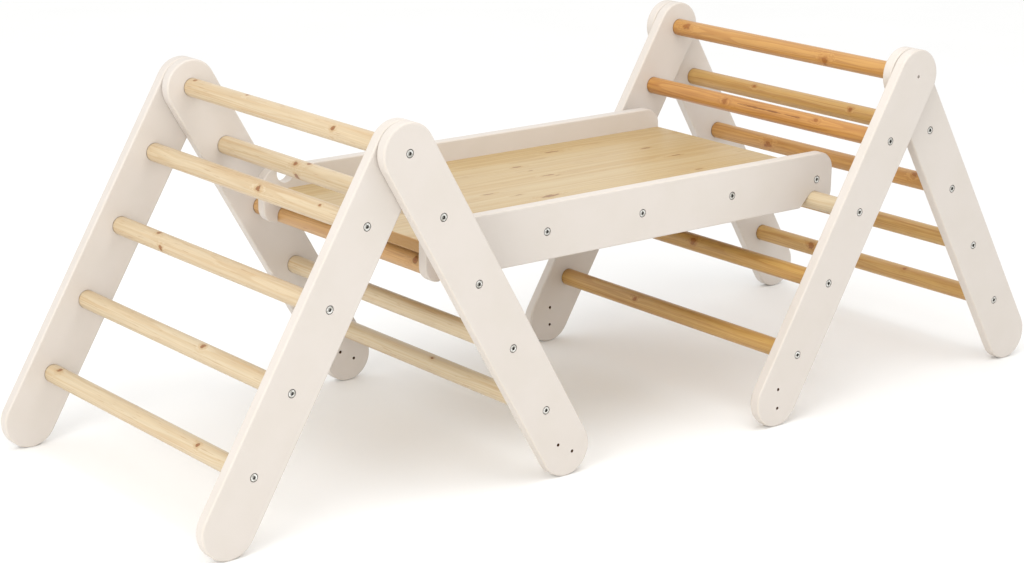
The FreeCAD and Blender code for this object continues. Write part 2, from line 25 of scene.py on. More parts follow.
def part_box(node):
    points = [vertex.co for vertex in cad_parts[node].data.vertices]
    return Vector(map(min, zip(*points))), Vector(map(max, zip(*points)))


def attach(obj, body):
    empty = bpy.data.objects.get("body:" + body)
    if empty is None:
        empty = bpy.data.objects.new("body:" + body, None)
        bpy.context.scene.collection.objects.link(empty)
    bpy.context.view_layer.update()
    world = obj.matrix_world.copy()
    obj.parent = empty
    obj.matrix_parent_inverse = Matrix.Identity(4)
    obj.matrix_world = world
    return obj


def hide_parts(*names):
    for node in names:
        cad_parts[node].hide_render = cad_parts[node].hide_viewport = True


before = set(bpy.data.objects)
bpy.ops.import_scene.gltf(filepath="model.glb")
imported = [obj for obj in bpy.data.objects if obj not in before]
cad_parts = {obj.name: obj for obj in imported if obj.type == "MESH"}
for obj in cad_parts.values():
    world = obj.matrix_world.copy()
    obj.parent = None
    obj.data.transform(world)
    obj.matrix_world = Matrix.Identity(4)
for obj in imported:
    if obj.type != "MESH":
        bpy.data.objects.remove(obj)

log = logging.getLogger("climbing_set")

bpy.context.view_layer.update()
MM = 0.001
KNOT_SLOTS = ("knot_1", "knot_2", "knot_3")
SPLIT_SLOT = "split"
FAR_AWAY = 40.0                 # metres along a log: where an unused knot is put
SHARP_EDGE = math.radians(28.0)  # faces that meet at more than this keep a crisp edge

# Node kinds and settings that the trees use over and over.
MATH = "ShaderNodeMath"
VECTOR = "ShaderNodeVectorMath"
MIX = "ShaderNodeMix"
STEP = "ShaderNodeMapRange"
COLOURS = {"data_type": "RGBA"}
SMOOTH = {"interpolation_type": "SMOOTHSTEP"}

Colour = tuple[float, float, float, float]


# --- helpers shared by every tree, finish and mesh ---

def linear(hex_colour: str) -> Colour:
    """Turns an sRGB hex colour into the linear colour that a socket takes.

    Args:
        hex_colour: six hex digits with a leading hash.

    Returns:
        Linear red, green, blue and an alpha of one.
    """
    parts = [int(hex_colour[i:i + 2], 16) / 255 for i in (1, 3, 5)]
    bent = [v / 12.92 if v <= 0.04045 else ((v + 0.055) / 1.055) ** 2.4 for v in parts]
    return (bent[0], bent[1], bent[2], 1.0)


def feed(tree: bpy.types.NodeTree, socket: bpy.types.NodeSocket, value: Any) -> None:
    """Links an input socket to another socket, or sets its own value.

    Args:
        tree: the tree that holds the socket's node.
        socket: the input.
        value: a socket to link, a plain value, or a hex colour for a colour input.
    """
    if isinstance(value, bpy.types.NodeSocket):
        tree.links.new(value, socket)
    elif socket.type == "RGBA" and isinstance(value, str):
        socket.default_value = linear(value)
    else:
        socket.default_value = value


def add(
    tree: bpy.types.NodeTree, kind: str, *values: Any, feeds: Mapping[str, Any] | None = None,
    ramp: Sequence[tuple[float, str]] = (), out: str | None = None, **settings: Any,
) -> bpy.types.NodeSocket | None:
    """Adds one node to a tree with its settings, values and links.

    Args:
        tree: the shader or geometry tree that gets the node.
        kind: the node's type name.
        values: what goes to the inputs in use, in their order.
        feeds: input name to what goes to it.
        ramp: stops of a colour ramp, as a position and a hex colour each.
        out: the output that is wanted, if it isn't the first one in use.
        settings: properties of the node itself.

    Returns:
        The output socket, or None for a node that has none.
    """
    node = tree.nodes.new(kind)
    for name, value in settings.items():
        setattr(node, name, value)
    for place, (stop, shade) in enumerate(ramp):
        stops = node.color_ramp.elements
        element = stops[place] if place < len(stops) else stops.new(stop)
        element.position = stop
        element.color = linear(shade)
    in_use = [socket for socket in node.inputs if socket.enabled]
    for socket, value in zip(in_use, values):
        feed(tree, socket, value)
    for name, value in (feeds or {}).items():
        feed(tree, node.inputs[name], value)
    if out is not None:
        return node.outputs[out]
    return next((socket for socket in node.outputs if socket.enabled), None)


def cloud(
    tree: bpy.types.NodeTree, place: Any, grain_mm: Sequence[float], detail: float = 2.0,
    roughness: float = 0.5,
) -> bpy.types.NodeSocket:
    """Adds a noise whose cells have a real size along each axis.

    Args:
        tree: the tree that gets it.
        place: position in millimetres.
        grain_mm: the size of a cell along x, y and z.
        detail: octaves of finer noise on top.
        roughness: strength of the finer octaves.

    Returns:
        The noise's value, about 0.5 on average.
    """
    shrunk = add(tree, VECTOR, place, tuple(grain_mm), operation="DIVIDE")
    feeds = {"Vector": shrunk, "Scale": 1.0, "Detail": detail, "Roughness": roughness}
    return add(tree, "ShaderNodeTexNoise", feeds=feeds)


def blank_material(name: str) -> tuple[bpy.types.Material, bpy.types.NodeTree, bpy.types.Node]:
    """Makes an empty material.

    Args:
        name: the material's name.

    Returns:
        The material, its tree and its shader node.
    """
    material = bpy.data.materials.new(name)
    material.use_nodes = True
    tree = material.node_tree
    return material, tree, tree.nodes["Principled BSDF"]


def dress_shader(
    tree: bpy.types.NodeTree, shader: bpy.types.Node, looks: Mapping[str, Any]
) -> None:
    """Sets a shader's own constants and links what varies over the surface.

    Args:
        tree: the material's tree.
        shader: its Principled node.
        looks: input name to a value that is the same all over, or to the socket that feeds it.
    """
    for name, value in looks.items():
        feed(tree, shader.inputs[name], value)


def in_mm(
    tree: bpy.types.NodeTree, attribute: str | None = None
) -> bpy.types.NodeSocket:
    """Adds a position or a stored vector, turned from metres into millimetres.

    Args:
        tree: the material's tree.
        attribute: the stored vector's name, or None for the position on the object.

    Returns:
        The vector.
    """
    if attribute is None:
        source = add(tree, "ShaderNodeTexCoord", out="Object")
    else:
        source = add(tree, "ShaderNodeAttribute", out="Vector", attribute_name=attribute)
    return add(tree, VECTOR, source, 1 / MM, operation="SCALE")


# --- finishes ---

@dataclass(frozen=True)
class PineFinish:
    """Lacquered pine, cut from a log: rings, rays of knots, resin streaks and fibres."""

    name: str
    early: str                  # wood laid down in spring, the pale part of a ring
    late: str                   # wood laid down in summer, the dark line of a ring
    deep_early: str             # the same two where the "tone" attribute is 1
    deep_late: str
    streak: str                 # resin-rich heartwood that runs along the grain
    knot_core: str
    knot_rim: str
    end_grain: str
    ring_mm: float = 3.4        # width of a year's growth
    ring_strength: float = 0.36
    streak_strength: float = 0.4
    line_strength: float = 0.32
    knot_tightness: float = 1.15  # above 1, the dark heart of a knot is smaller than the knot
    knot_stretch: float = 1.25  # a knot is this much longer along the grain than across
    split_mm: float = 105.0     # half the length of a drying split
    split_width_mm: float = 1.3  # a split is 0.5 mm wide; drawn wider to show
    fibre_mm: float = 1.5       # real fibres are 0.03 mm; drawn this coarse to show
    roughness: float = 0.42
    coat: float = 0.18

    def material(self) -> bpy.types.Material:
        """Builds the material, which reads the timber's attributes.

        Returns:
            The finished material.
        """
        material, tree, shader = blank_material(self.name)
        place = in_mm(tree, "timber")
        wobble = cloud(tree, place, (5.0, 9.0, 5.0), detail=1.0)
        nearest, bulge = self._knots(tree, place, wobble)

        across = add(tree, VECTOR, place, (1.0, 0.0, 1.0), operation="MULTIPLY")
        reach = add(tree, VECTOR, across, operation="LENGTH")
        warp = cloud(tree, place, (45.0, 360.0, 45.0), detail=2.0)
        ripple = cloud(tree, place, (7.0, 75.0, 7.0), detail=1.0)
        reach = add(tree, MATH, warp, 13.0, reach, operation="MULTIPLY_ADD")
        reach = add(tree, MATH, ripple, 1.3, reach, operation="MULTIPLY_ADD")
        reach = add(tree, MATH, reach, bulge, operation="ADD")
        uneven = add(tree, "ShaderNodeTexNoise",
                     feeds={"W": add(tree, MATH, reach, self.ring_mm * 2.7, operation="DIVIDE"),
                            "Scale": 1.0, "Detail": 0.0}, noise_dimensions="1D")
        reach = add(tree, MATH, uneven, self.ring_mm * 1.8, reach, operation="MULTIPLY_ADD")
        phase = add(tree, MATH, add(tree, MATH, reach, self.ring_mm, operation="DIVIDE"),
                    operation="FRACT")
        summer = add(tree, MATH, add(tree, STEP, phase, 0.25, 0.9, **SMOOTH),
                     add(tree, STEP, phase, 0.93, 1.0, 1.0, 0.0, **SMOOTH), operation="MULTIPLY")

        tone = add(tree, "ShaderNodeAttribute", out="Fac", attribute_name="tone")
        early = add(tree, MIX, tone, self.early, self.deep_early, **COLOURS)
        late = add(tree, MIX, tone, self.late, self.deep_late, **COLOURS)
        years = add(tree, MATH, summer, self.ring_strength, operation="MULTIPLY")
        colour = add(tree, MIX, years, early, late, **COLOURS)

        heart = cloud(tree, place, (9.0, 330.0, 9.0), detail=3.0, roughness=0.62)
        share = add(tree, MATH, add(tree, STEP, heart, 0.5, 0.72, **SMOOTH), self.streak_strength,
                    operation="MULTIPLY")
        colour = add(tree, MIX, share, colour, self.streak, **COLOURS)
        lines = cloud(tree, place, (2.3, 190.0, 2.3), detail=1.0)
        share = add(tree, MATH, add(tree, STEP, lines, 0.52, 0.74, **SMOOTH), self.line_strength,
                    operation="MULTIPLY")
        colour = add(tree, MIX, share, colour, late, **COLOURS)
        pale = add(tree, STEP, cloud(tree, place, (16.0, 260.0, 16.0), detail=1.0), 0.52, 0.75,
                   **SMOOTH)
        colour = add(tree, MIX, add(tree, MATH, pale, 0.35, operation="MULTIPLY"), colour, early,
                     **COLOURS)

        fibre = cloud(tree, place, (self.fibre_mm, self.fibre_mm * 38, self.fibre_mm), detail=2.0)
        light = add(tree, MATH, fibre, 0.26, 0.87, operation="MULTIPLY_ADD")
        shade = add(tree, "ShaderNodeCombineXYZ", light, light, light)
        colour = add(tree, MIX, 1.0, colour, shade, **COLOURS, blend_type="MULTIPLY")
        canal = add(tree, STEP, cloud(tree, place, (1.7, 30.0, 1.7), detail=0.0), 0.73, 0.8,
                    **SMOOTH)
        colour = add(tree, MIX, add(tree, MATH, canal, 0.3, operation="MULTIPLY"), colour,
                     self.knot_core, **COLOURS)

        ends = add(tree, "ShaderNodeAttribute", out="Fac", attribute_name="end_grain")
        colour = add(tree, MIX, add(tree, MATH, ends, 0.75, operation="MULTIPLY"), colour,
                     self.end_grain, **COLOURS)

        halo = add(tree, STEP, nearest, 1.0, 2.6, 0.5, 0.0, **SMOOTH)
        colour = add(tree, MIX, halo, colour, self.streak, **COLOURS)
        knot = add(tree, "ShaderNodeValToRGB",
                   feeds={"Fac": add(tree, MATH, nearest, 0.8, operation="MULTIPLY")},
                   ramp=((0.0, self.knot_rim), (0.3, self.knot_core), (0.6, self.knot_core),
                         (0.76, self.knot_rim), (0.95, self.streak)))
        inside = add(tree, STEP, nearest, 0.8, 1.25, 0.9, 0.0, **SMOOTH)
        colour = add(tree, MIX, inside, colour, knot, **COLOURS)

        split = self._split(tree, place)
        colour = add(tree, MIX, split, colour, self.knot_rim, **COLOURS)

        height = add(tree, MATH, summer, 0.5, fibre, operation="MULTIPLY_ADD")
        height = add(tree, MATH, split, -2.0, height, operation="MULTIPLY_ADD")
        height = add(tree, MATH, inside, 0.8, height, operation="MULTIPLY_ADD")
        bump = add(tree, "ShaderNodeBump",
                   feeds={"Strength": 0.28, "Distance": 0.12 * MM, "Height": height})
        gloss = add(tree, MATH, fibre, 0.16, self.roughness - 0.08, operation="MULTIPLY_ADD")
        gloss = add(tree, MATH, ends, 0.2, gloss, operation="MULTIPLY_ADD")
        dress_shader(tree, shader, {"Coat Weight": self.coat, "Coat Roughness": 0.22, "IOR": 1.5,
                                    "Base Color": colour, "Roughness": gloss, "Normal": bump})
        return material

    def _knots(
        self, tree: bpy.types.NodeTree, place: bpy.types.NodeSocket, wobble: bpy.types.NodeSocket
    ) -> tuple[bpy.types.NodeSocket, bpy.types.NodeSocket]:
        """Draws the branches that run out from the pith.

        Args:
            tree: the material's tree.
            place: position in the log, in millimetres.
            wobble: a noise that makes a knot's outline uneven.

        Returns:
            Distance to the nearest knot's axis in knot radii, and how far the rings are
            pushed out round the knots, in millimetres.
        """
        nearest: Any = 9.0
        bulge: Any = 0.0
        for slot_name in KNOT_SLOTS:
            branch = in_mm(tree, slot_name)
            out = add(tree, VECTOR, branch, (1.0, 0.0, 1.0), operation="MULTIPLY")
            level = add(tree, VECTOR, branch, (0.0, 1.0, 0.0), operation="MULTIPLY")
            radius = add(tree, VECTOR, out, operation="LENGTH")
            arm = add(tree, VECTOR, place, level, operation="SUBTRACT")
            shadow = add(tree, VECTOR, arm, out, operation="PROJECT")
            aside = add(tree, VECTOR, arm, shadow, operation="SUBTRACT")
            oval = add(tree, VECTOR, aside, (1.0, 1 / self.knot_stretch, 1.0), operation="MULTIPLY")
            gap = add(tree, VECTOR, oval, operation="LENGTH")
            ratio = add(tree, MATH, gap, radius, operation="DIVIDE")
            uneven = add(tree, MATH, wobble, 1.7, 0.15, operation="MULTIPLY_ADD")
            ratio = add(tree, MATH, ratio, uneven, operation="MULTIPLY")
            ratio = add(tree, MATH, ratio, self.knot_tightness, operation="MULTIPLY")
            nearest = add(tree, MATH, nearest, ratio, operation="MINIMUM")
            falloff = add(tree, MATH,
                          add(tree, MATH,
                              add(tree, MATH, add(tree, MATH, ratio, 2.1, operation="DIVIDE"), 2.0,
                                  operation="POWER"), -1.0, operation="MULTIPLY"),
                          operation="EXPONENT")
            bulge = add(tree, MATH, falloff, add(tree, MATH, radius, 1.7, operation="MULTIPLY"),
                        bulge, operation="MULTIPLY_ADD")
        return nearest, bulge

    def _split(
        self, tree: bpy.types.NodeTree, place: bpy.types.NodeSocket
    ) -> bpy.types.NodeSocket:
        """Draws a drying split, a thin dark line that runs with the grain.

        Args:
            tree: the material's tree.
            place: position in the log, in millimetres.

        Returns:
            How much of the split shows, from 0 to 1.
        """
        arm = add(tree, VECTOR, place, in_mm(tree, SPLIT_SLOT), operation="SUBTRACT")
        along = add(tree, MATH, add(tree, "ShaderNodeSeparateXYZ", arm, out="Y"),
                    operation="ABSOLUTE")
        drift = cloud(tree, place, (90.0, 26.0, 90.0), detail=2.0)
        wander = add(tree, MATH, drift, 7.0, -3.5, operation="MULTIPLY_ADD")
        side = add(tree, VECTOR, add(tree, VECTOR, arm, (1.0, 0.0, 1.0), operation="MULTIPLY"),
                   operation="LENGTH")
        gap = add(tree, MATH, add(tree, MATH, side, wander, operation="SUBTRACT"),
                  operation="ABSOLUTE")
        width = add(tree, STEP, along, 0.0, self.split_mm, self.split_width_mm, 0.1, **SMOOTH)
        line = add(tree, STEP, add(tree, MATH, gap, width, operation="DIVIDE"), 0.6, 1.4, 0.85, 0.0,
                   **SMOOTH)
        return add(tree, MATH, line,
                   add(tree, STEP, along, self.split_mm * 0.8, self.split_mm, 1.0, 0.0, **SMOOTH),
                   operation="MULTIPLY")


@dataclass(frozen=True)
class PaintFinish:
    """Water-based white paint, sprayed on sanded board: satin, slightly stippled, thin on edges."""

    name: str
    film: str                   # the usual colour of the coat
    film_shade: str             # where the coat is a little thinner
    edge: str                   # on the eased edges, where the board warms the coat
    cloud_mm: float = 70.0      # size of the slow change in tone
    stipple_mm: float = 1.8     # spray stipple is 0.5 mm; drawn coarser to show
    roughness: float = 0.46

    def material(self) -> bpy.types.Material:
        """Builds the material.

        Returns:
            The finished material.
        """
        material, tree, shader = blank_material(self.name)
        place = in_mm(tree)
        drift = cloud(tree, place, (self.cloud_mm,) * 3, detail=3.0)
        colour = add(tree, MIX, add(tree, STEP, drift, 0.35, 0.7, **SMOOTH), self.film,
                     self.film_shade, **COLOURS)
        facing = add(tree, VECTOR, add(tree, "ShaderNodeTexCoord", out="Normal"), (0.0, 1.0, 0.0),
                     operation="MULTIPLY")
        flatness = add(tree, VECTOR, facing, operation="LENGTH")
        eased = add(tree, MATH, add(tree, STEP, flatness, 0.05, 0.4, **SMOOTH),
                    add(tree, STEP, flatness, 0.75, 0.98, 1.0, 0.0, **SMOOTH), operation="MULTIPLY")
        rub = cloud(tree, place, (11.0, 11.0, 11.0), detail=4.0, roughness=0.65)
        worn = add(tree, MATH, eased, add(tree, STEP, rub, 0.35, 0.7, 0.2, 0.75, **SMOOTH),
                   operation="MULTIPLY")
        colour = add(tree, MIX, worn, colour, self.edge, **COLOURS)

        stipple = cloud(tree, place, (self.stipple_mm,) * 3, detail=2.0)
        speck = cloud(tree, place, (5.5, 5.5, 5.5), detail=0.0)
        nib = add(tree, STEP, speck, 0.79, 0.84, **SMOOTH)
        height = add(tree, MATH, nib, 1.6, stipple, operation="MULTIPLY_ADD")
        bump = add(tree, "ShaderNodeBump",
                   feeds={"Strength": 0.16, "Distance": 0.09 * MM, "Height": height})
        side = add(tree, STEP, flatness, 0.0, 0.3, 0.07, 0.0, **SMOOTH)
        gloss = add(tree, MATH, stipple, 0.12, self.roughness - 0.06, operation="MULTIPLY_ADD")
        gloss = add(tree, MATH, gloss, side, operation="ADD")
        gloss = add(tree, MATH, worn, -0.08, gloss, operation="MULTIPLY_ADD")
        dress_shader(tree, shader, {"IOR": 1.48, "Coat Weight": 0.06, "Coat Roughness": 0.3,
                                    "Base Color": colour, "Roughness": gloss, "Normal": bump})
        return material


@dataclass(frozen=True)
class ZincFinish:
    """Bright zinc plate on turned steel: blue-white, with tool rings, and painted shade in the key
    socket and round the head.
    """

    name: str
    bright: str
    dull: str
    grime: str                  # painted shade in the key socket and round the head
    ring_mm: float = 0.7        # tool marks are 0.1 mm; drawn coarser to show
    roughness: float = 0.3
    key_radius_mm: float = 2.9
    key_depth_mm: float = 2.5
    recess_mm: float = 5.2      # the painted shade round the head starts at this radius

    def material(self) -> bpy.types.Material:
        """Builds the material, which reads where each point was on the lathe.

        Returns:
            The finished material.
        """
        material, tree, shader = blank_material(self.name)
        lathe, place = in_mm(tree, "turned"), in_mm(tree)
        across = add(tree, VECTOR, lathe, (1.0, 0.0, 1.0), operation="MULTIPLY")
        radius = add(tree, VECTOR, across, operation="LENGTH")
        depth = add(tree, "ShaderNodeSeparateXYZ", lathe, out="Y")
        patch = cloud(tree, place, (3.0, 3.0, 3.0), detail=3.0)
        colour = add(tree, MIX, add(tree, STEP, patch, 0.35, 0.68, **SMOOTH), self.bright,
                     self.dull, **COLOURS)
        rings = add(tree, MATH,
                    add(tree, MATH, radius, 2 * math.pi / self.ring_mm, operation="MULTIPLY"),
                    operation="SINE")
        # Painted shade: the key socket and the head's rim are darkened, darkest down the socket's
        # walls and lighter on its floor.
        inside = add(tree, STEP, radius, self.key_radius_mm, self.key_radius_mm - 0.1, 1.0, 0.0,
                     **SMOOTH)
        inside = add(tree, MATH, 1.0, inside, operation="SUBTRACT")
        wall = add(tree, MATH, add(tree, STEP, depth, 0.1, 0.9, **SMOOTH),
                   add(tree, STEP, depth, self.key_depth_mm - 0.2, self.key_depth_mm - 0.05, 1.0,
                       0.45, **SMOOTH), operation="MULTIPLY")
        rim = add(tree, MATH, add(tree, STEP, depth, 0.15, 0.8, **SMOOTH),
                  add(tree, MATH, 1.0, inside, operation="SUBTRACT"), operation="MULTIPLY")
        deep = add(tree, MATH, inside, wall, rim, operation="MULTIPLY_ADD")
        # Painted shade in a ring round the head, outside recess_mm, made uneven by the patches.
        recess = add(tree, MATH,
                     add(tree, STEP, radius, self.recess_mm - 0.35, self.recess_mm, **SMOOTH),
                     add(tree, STEP, patch, 0.3, 0.6, 1.0, 0.55, **SMOOTH), operation="MULTIPLY")
        deep = add(tree, MATH, deep, recess, operation="MAXIMUM")
        # Mixes the painted shade colour in wherever the masks above are set.
        colour = add(tree, MIX, add(tree, MATH, deep, 0.93, operation="MULTIPLY"), colour,
                     self.grime, **COLOURS)
        bump = add(tree, "ShaderNodeBump",
                   feeds={"Strength": 0.2, "Distance": 0.05 * MM, "Height": rings})
        gloss = add(tree, MATH, patch, 0.2, self.roughness - 0.1, operation="MULTIPLY_ADD")
        gloss = add(tree, MATH, deep, 0.3, gloss, operation="MULTIPLY_ADD")
        dress_shader(tree, shader, {"Metallic": 1.0, "Base Color": colour, "Roughness": gloss,
                                    "Normal": bump})
        return material


@dataclass(frozen=True)
class DrilledFinish:
    """Bare board inside a drilled hole: bare wood drawn dark brown with painted shade, as a deep
    hole is dark, with torn fibres.
    """

    name: str
    # both colours are bare wood darkened with painted shade, the first one most
    burnt: str
    bare: str
    tear_mm: float = 0.8        # torn fibres are 0.2 mm; drawn coarser to show
    roughness: float = 0.85

    def material(self) -> bpy.types.Material:
        """Builds the material.

        Returns:
            The finished material.
        """
        material, tree, shader = blank_material(self.name)
        place = in_mm(tree)
        tears = cloud(tree, place, (self.tear_mm, self.tear_mm * 5, self.tear_mm), detail=2.0)
        bump = add(tree, "ShaderNodeBump",
                   feeds={"Strength": 0.5, "Distance": 0.2 * MM, "Height": tears})
        # Painted shade: the hole's wall is bare wood drawn dark, as it is in shade.
        colour = add(tree, MIX, tears, self.burnt, self.bare, **COLOURS)
        dress_shader(tree, shader, {"Roughness": self.roughness, "Base Color": colour,
                                    "Normal": bump})
        return material


@dataclass(frozen=True)
class NylonFinish:
    """Moulded natural nylon: milky, a little see-through, faintly pitted."""

    name: str
    body: str
    shade: str
    roughness: float = 0.5

    def material(self) -> bpy.types.Material:
        """Builds the material.

        Returns:
            The finished material.
        """
        material, tree, shader = blank_material(self.name)
        place = in_mm(tree)
        swirl = cloud(tree, place, (6.0, 6.0, 6.0), detail=3.0)
        pits = cloud(tree, place, (0.9, 0.9, 0.9), detail=1.0)
        bump = add(tree, "ShaderNodeBump",
                   feeds={"Strength": 0.2, "Distance": 0.05 * MM, "Height": pits})
        gloss = add(tree, MATH, pits, 0.15, self.roughness - 0.07, operation="MULTIPLY_ADD")
        colour = add(tree, MIX, swirl, self.body, self.shade, **COLOURS)
        dress_shader(tree, shader, {"IOR": 1.53, "Subsurface Weight": 0.25,
                                    "Subsurface Scale": 2 * MM, "Base Color": colour,
                                    "Roughness": gloss, "Normal": bump})
        return material


@dataclass(frozen=True)
class FloorFinish:
    """Matt pale studio floor, rolled on, with a barely visible mottle."""

    name: str
    pale: str
    shade: str

    def material(self) -> bpy.types.Material:
        """Builds the material.

        Returns:
            The finished material.
        """
        material, tree, shader = blank_material(self.name)
        place = in_mm(tree)
        mottle = cloud(tree, place, (400.0, 400.0, 400.0), detail=4.0)
        colour = add(tree, MIX, mottle, self.pale, self.shade, **COLOURS)
        dress_shader(tree, shader, {"Roughness": 0.9, "Specular IOR Level": 0.2,
                                    "Base Color": colour})
        return material


WHITE_PAINT = PaintFinish("white_board_paint", film="#CFC7BF", film_shade="#CDC5BC",
                          edge="#CDC3B6")
LIGHT_PINE = PineFinish("light_pine_lacquered", early="#C9B899", late="#B5976C",
                        deep_early="#C4965A", deep_late="#99632E", streak="#B28A56",
                        knot_core="#8C551F", knot_rim="#60350F", end_grain="#AB8450")
WARM_PINE = PineFinish("warm_pine_lacquered", early="#C3A262", late="#A27335",
                       deep_early="#BD8845", deep_late="#93571F", streak="#A26728",
                       knot_core="#965A12", knot_rim="#75430C", end_grain="#9B672D",
                       ring_strength=0.42, streak_strength=0.5, line_strength=0.5)
BED_PINE = PineFinish("glued_pine_board", early="#BEA87D", late="#AA854C",
                      deep_early="#BA9A5C", deep_late="#9E7636", streak="#AA8244",
                      knot_core="#855618", knot_rim="#55350C", end_grain="#A57840",
                      ring_mm=4.6, ring_strength=0.4, streak_strength=0.32, knot_stretch=4.5,
                      knot_tightness=2.0,
                      roughness=0.4, coat=0.22)
ZINC = ZincFinish("bright_zinc_plate", bright="#EDECE8", dull="#A8A59C", grime="#1E1B18")
DRILLED = DrilledFinish("drilled_board", burnt="#3B2618", bare="#7A5636")
NYLON = NylonFinish("natural_nylon", body="#ECE8DC", shade="#DDD7C6")
FLOOR = FloorFinish("pale_floor", pale="#FBFBFA", shade="#F7F7F6")


# --- timber, as it was cut from a log ---

@dataclass(frozen=True)
class Knot:
    """A knot on a stick's surface."""

    along: float                # from the stick's start, millimetres
    clock: float                # round the stick from +X towards +Z, degrees
    radius: float


@dataclass(frozen=True)
class Cut:
    """How one length of timber lay in its log."""

    bark: float                 # the side that faced the bark, degrees from +X towards +Z
    pith: float                 # from the log's middle to the stick's middle, millimetres
    tone: float = 0.0           # 0 for the finish's usual colour, 1 for its deep one
    knots: tuple[Knot, ...] = ()
    split: Knot | None = None   # the middle of a drying split, whose radius isn't used

    def attributes(self, log_start: float, radius: float) -> dict[str, Any]:
        """Works out the values that a timber material reads.

        Args:
            log_start: where the stick starts along its log, metres.
            radius: from the stick's middle to its surface, millimetres.

        Returns:
            Attribute name to value, in metres.
        """
        middle = around(self.bark) * self.pith
        found: dict[str, Any] = {
            "pith": Vector((middle.x * MM, log_start, middle.z * MM)), "tone": self.tone}
        for slot_name in KNOT_SLOTS:
            found[slot_name] = Vector((MM, FAR_AWAY, 0.0))
        found[SPLIT_SLOT] = Vector((0.0, FAR_AWAY, 0.0))
        if self.split is not None:
            skin = (middle + around(self.split.clock) * radius) * MM
            found[SPLIT_SLOT] = Vector((skin.x, log_start + self.split.along * MM, skin.z))
        for slot_name, knot in zip(KNOT_SLOTS, self.knots):
            out = (middle + around(knot.clock) * radius).normalized() * knot.radius * MM
            found[slot_name] = Vector((out.x, log_start + knot.along * MM, out.z))
        return found


def show(name: str, data: bpy.types.ID) -> bpy.types.Object:
    """Makes an object out of a mesh, a light or a camera and links it to the scene.

    Args:
        name: the object's name.
        data: what it shows.

    Returns:
        The object.
    """
    made = bpy.data.objects.new(name, data)
    bpy.context.scene.collection.objects.link(made)
    return made


def around(degrees: float) -> Vector:
    """Returns the unit vector at an angle from +X towards +Z."""
    turn = math.radians(degrees)
    return Vector((math.cos(turn), 0.0, math.sin(turn)))


def seats(
    name: str, places: Sequence[Vector], attributes: Sequence[Mapping[str, Any]]
) -> bpy.types.Object:
    """Makes the loose points that a geometry tree grows pieces on.

    Args:
        name: the object's name.
        places: one point for each piece.
        attributes: for each point, attribute name to a float or a vector; may be empty.

    Returns:
        The object, linked to the scene.
    """
    mesh = bpy.data.meshes.new(name)
    mesh.from_pydata([tuple(p) for p in places], [], [])
    for key, sample in attributes[0].items():
        if isinstance(sample, Vector):
            layer = mesh.attributes.new(key, "FLOAT_VECTOR", "POINT")
            layer.data.foreach_set("vector", [v for a in attributes for v in a[key]])
        else:
            layer = mesh.attributes.new(key, "FLOAT", "POINT")
            layer.data.foreach_set("value", [float(a[key]) for a in attributes])
    return show(name, mesh)


def grow(
    name: str, tree: bpy.types.NodeTree, points: bpy.types.Object, sizes: Mapping[str, Any]
) -> bpy.types.Object:
    """Runs a geometry tree on its points and keeps the result as a plain mesh.

    Args:
        name: the finished piece's name.
        tree: the geometry tree.
        points: the object whose points the tree reads; it is removed afterwards.
        sizes: the tree's named inputs.

    Returns:
        The finished piece, at the origin.
    """
    modifier = points.modifiers.new("grow", "NODES")
    modifier.node_group = tree
    identifiers = {item.name: item.identifier for item in tree.interface.items_tree
                   if item.item_type == "SOCKET" and item.in_out == "INPUT"}
    for key, value in sizes.items():
        modifier[identifiers[key]] = value
    graph = bpy.context.evaluated_depsgraph_get()
    mesh = bpy.data.meshes.new_from_object(points.evaluated_get(graph))
    mesh.name = name
    points.modifiers.remove(modifier)
    bpy.data.objects.remove(points)
    return show(name, mesh)


class Section(Enum):
    """The shape of a stick across its length."""

    ROUND = "round"
    FLAT = "flat"


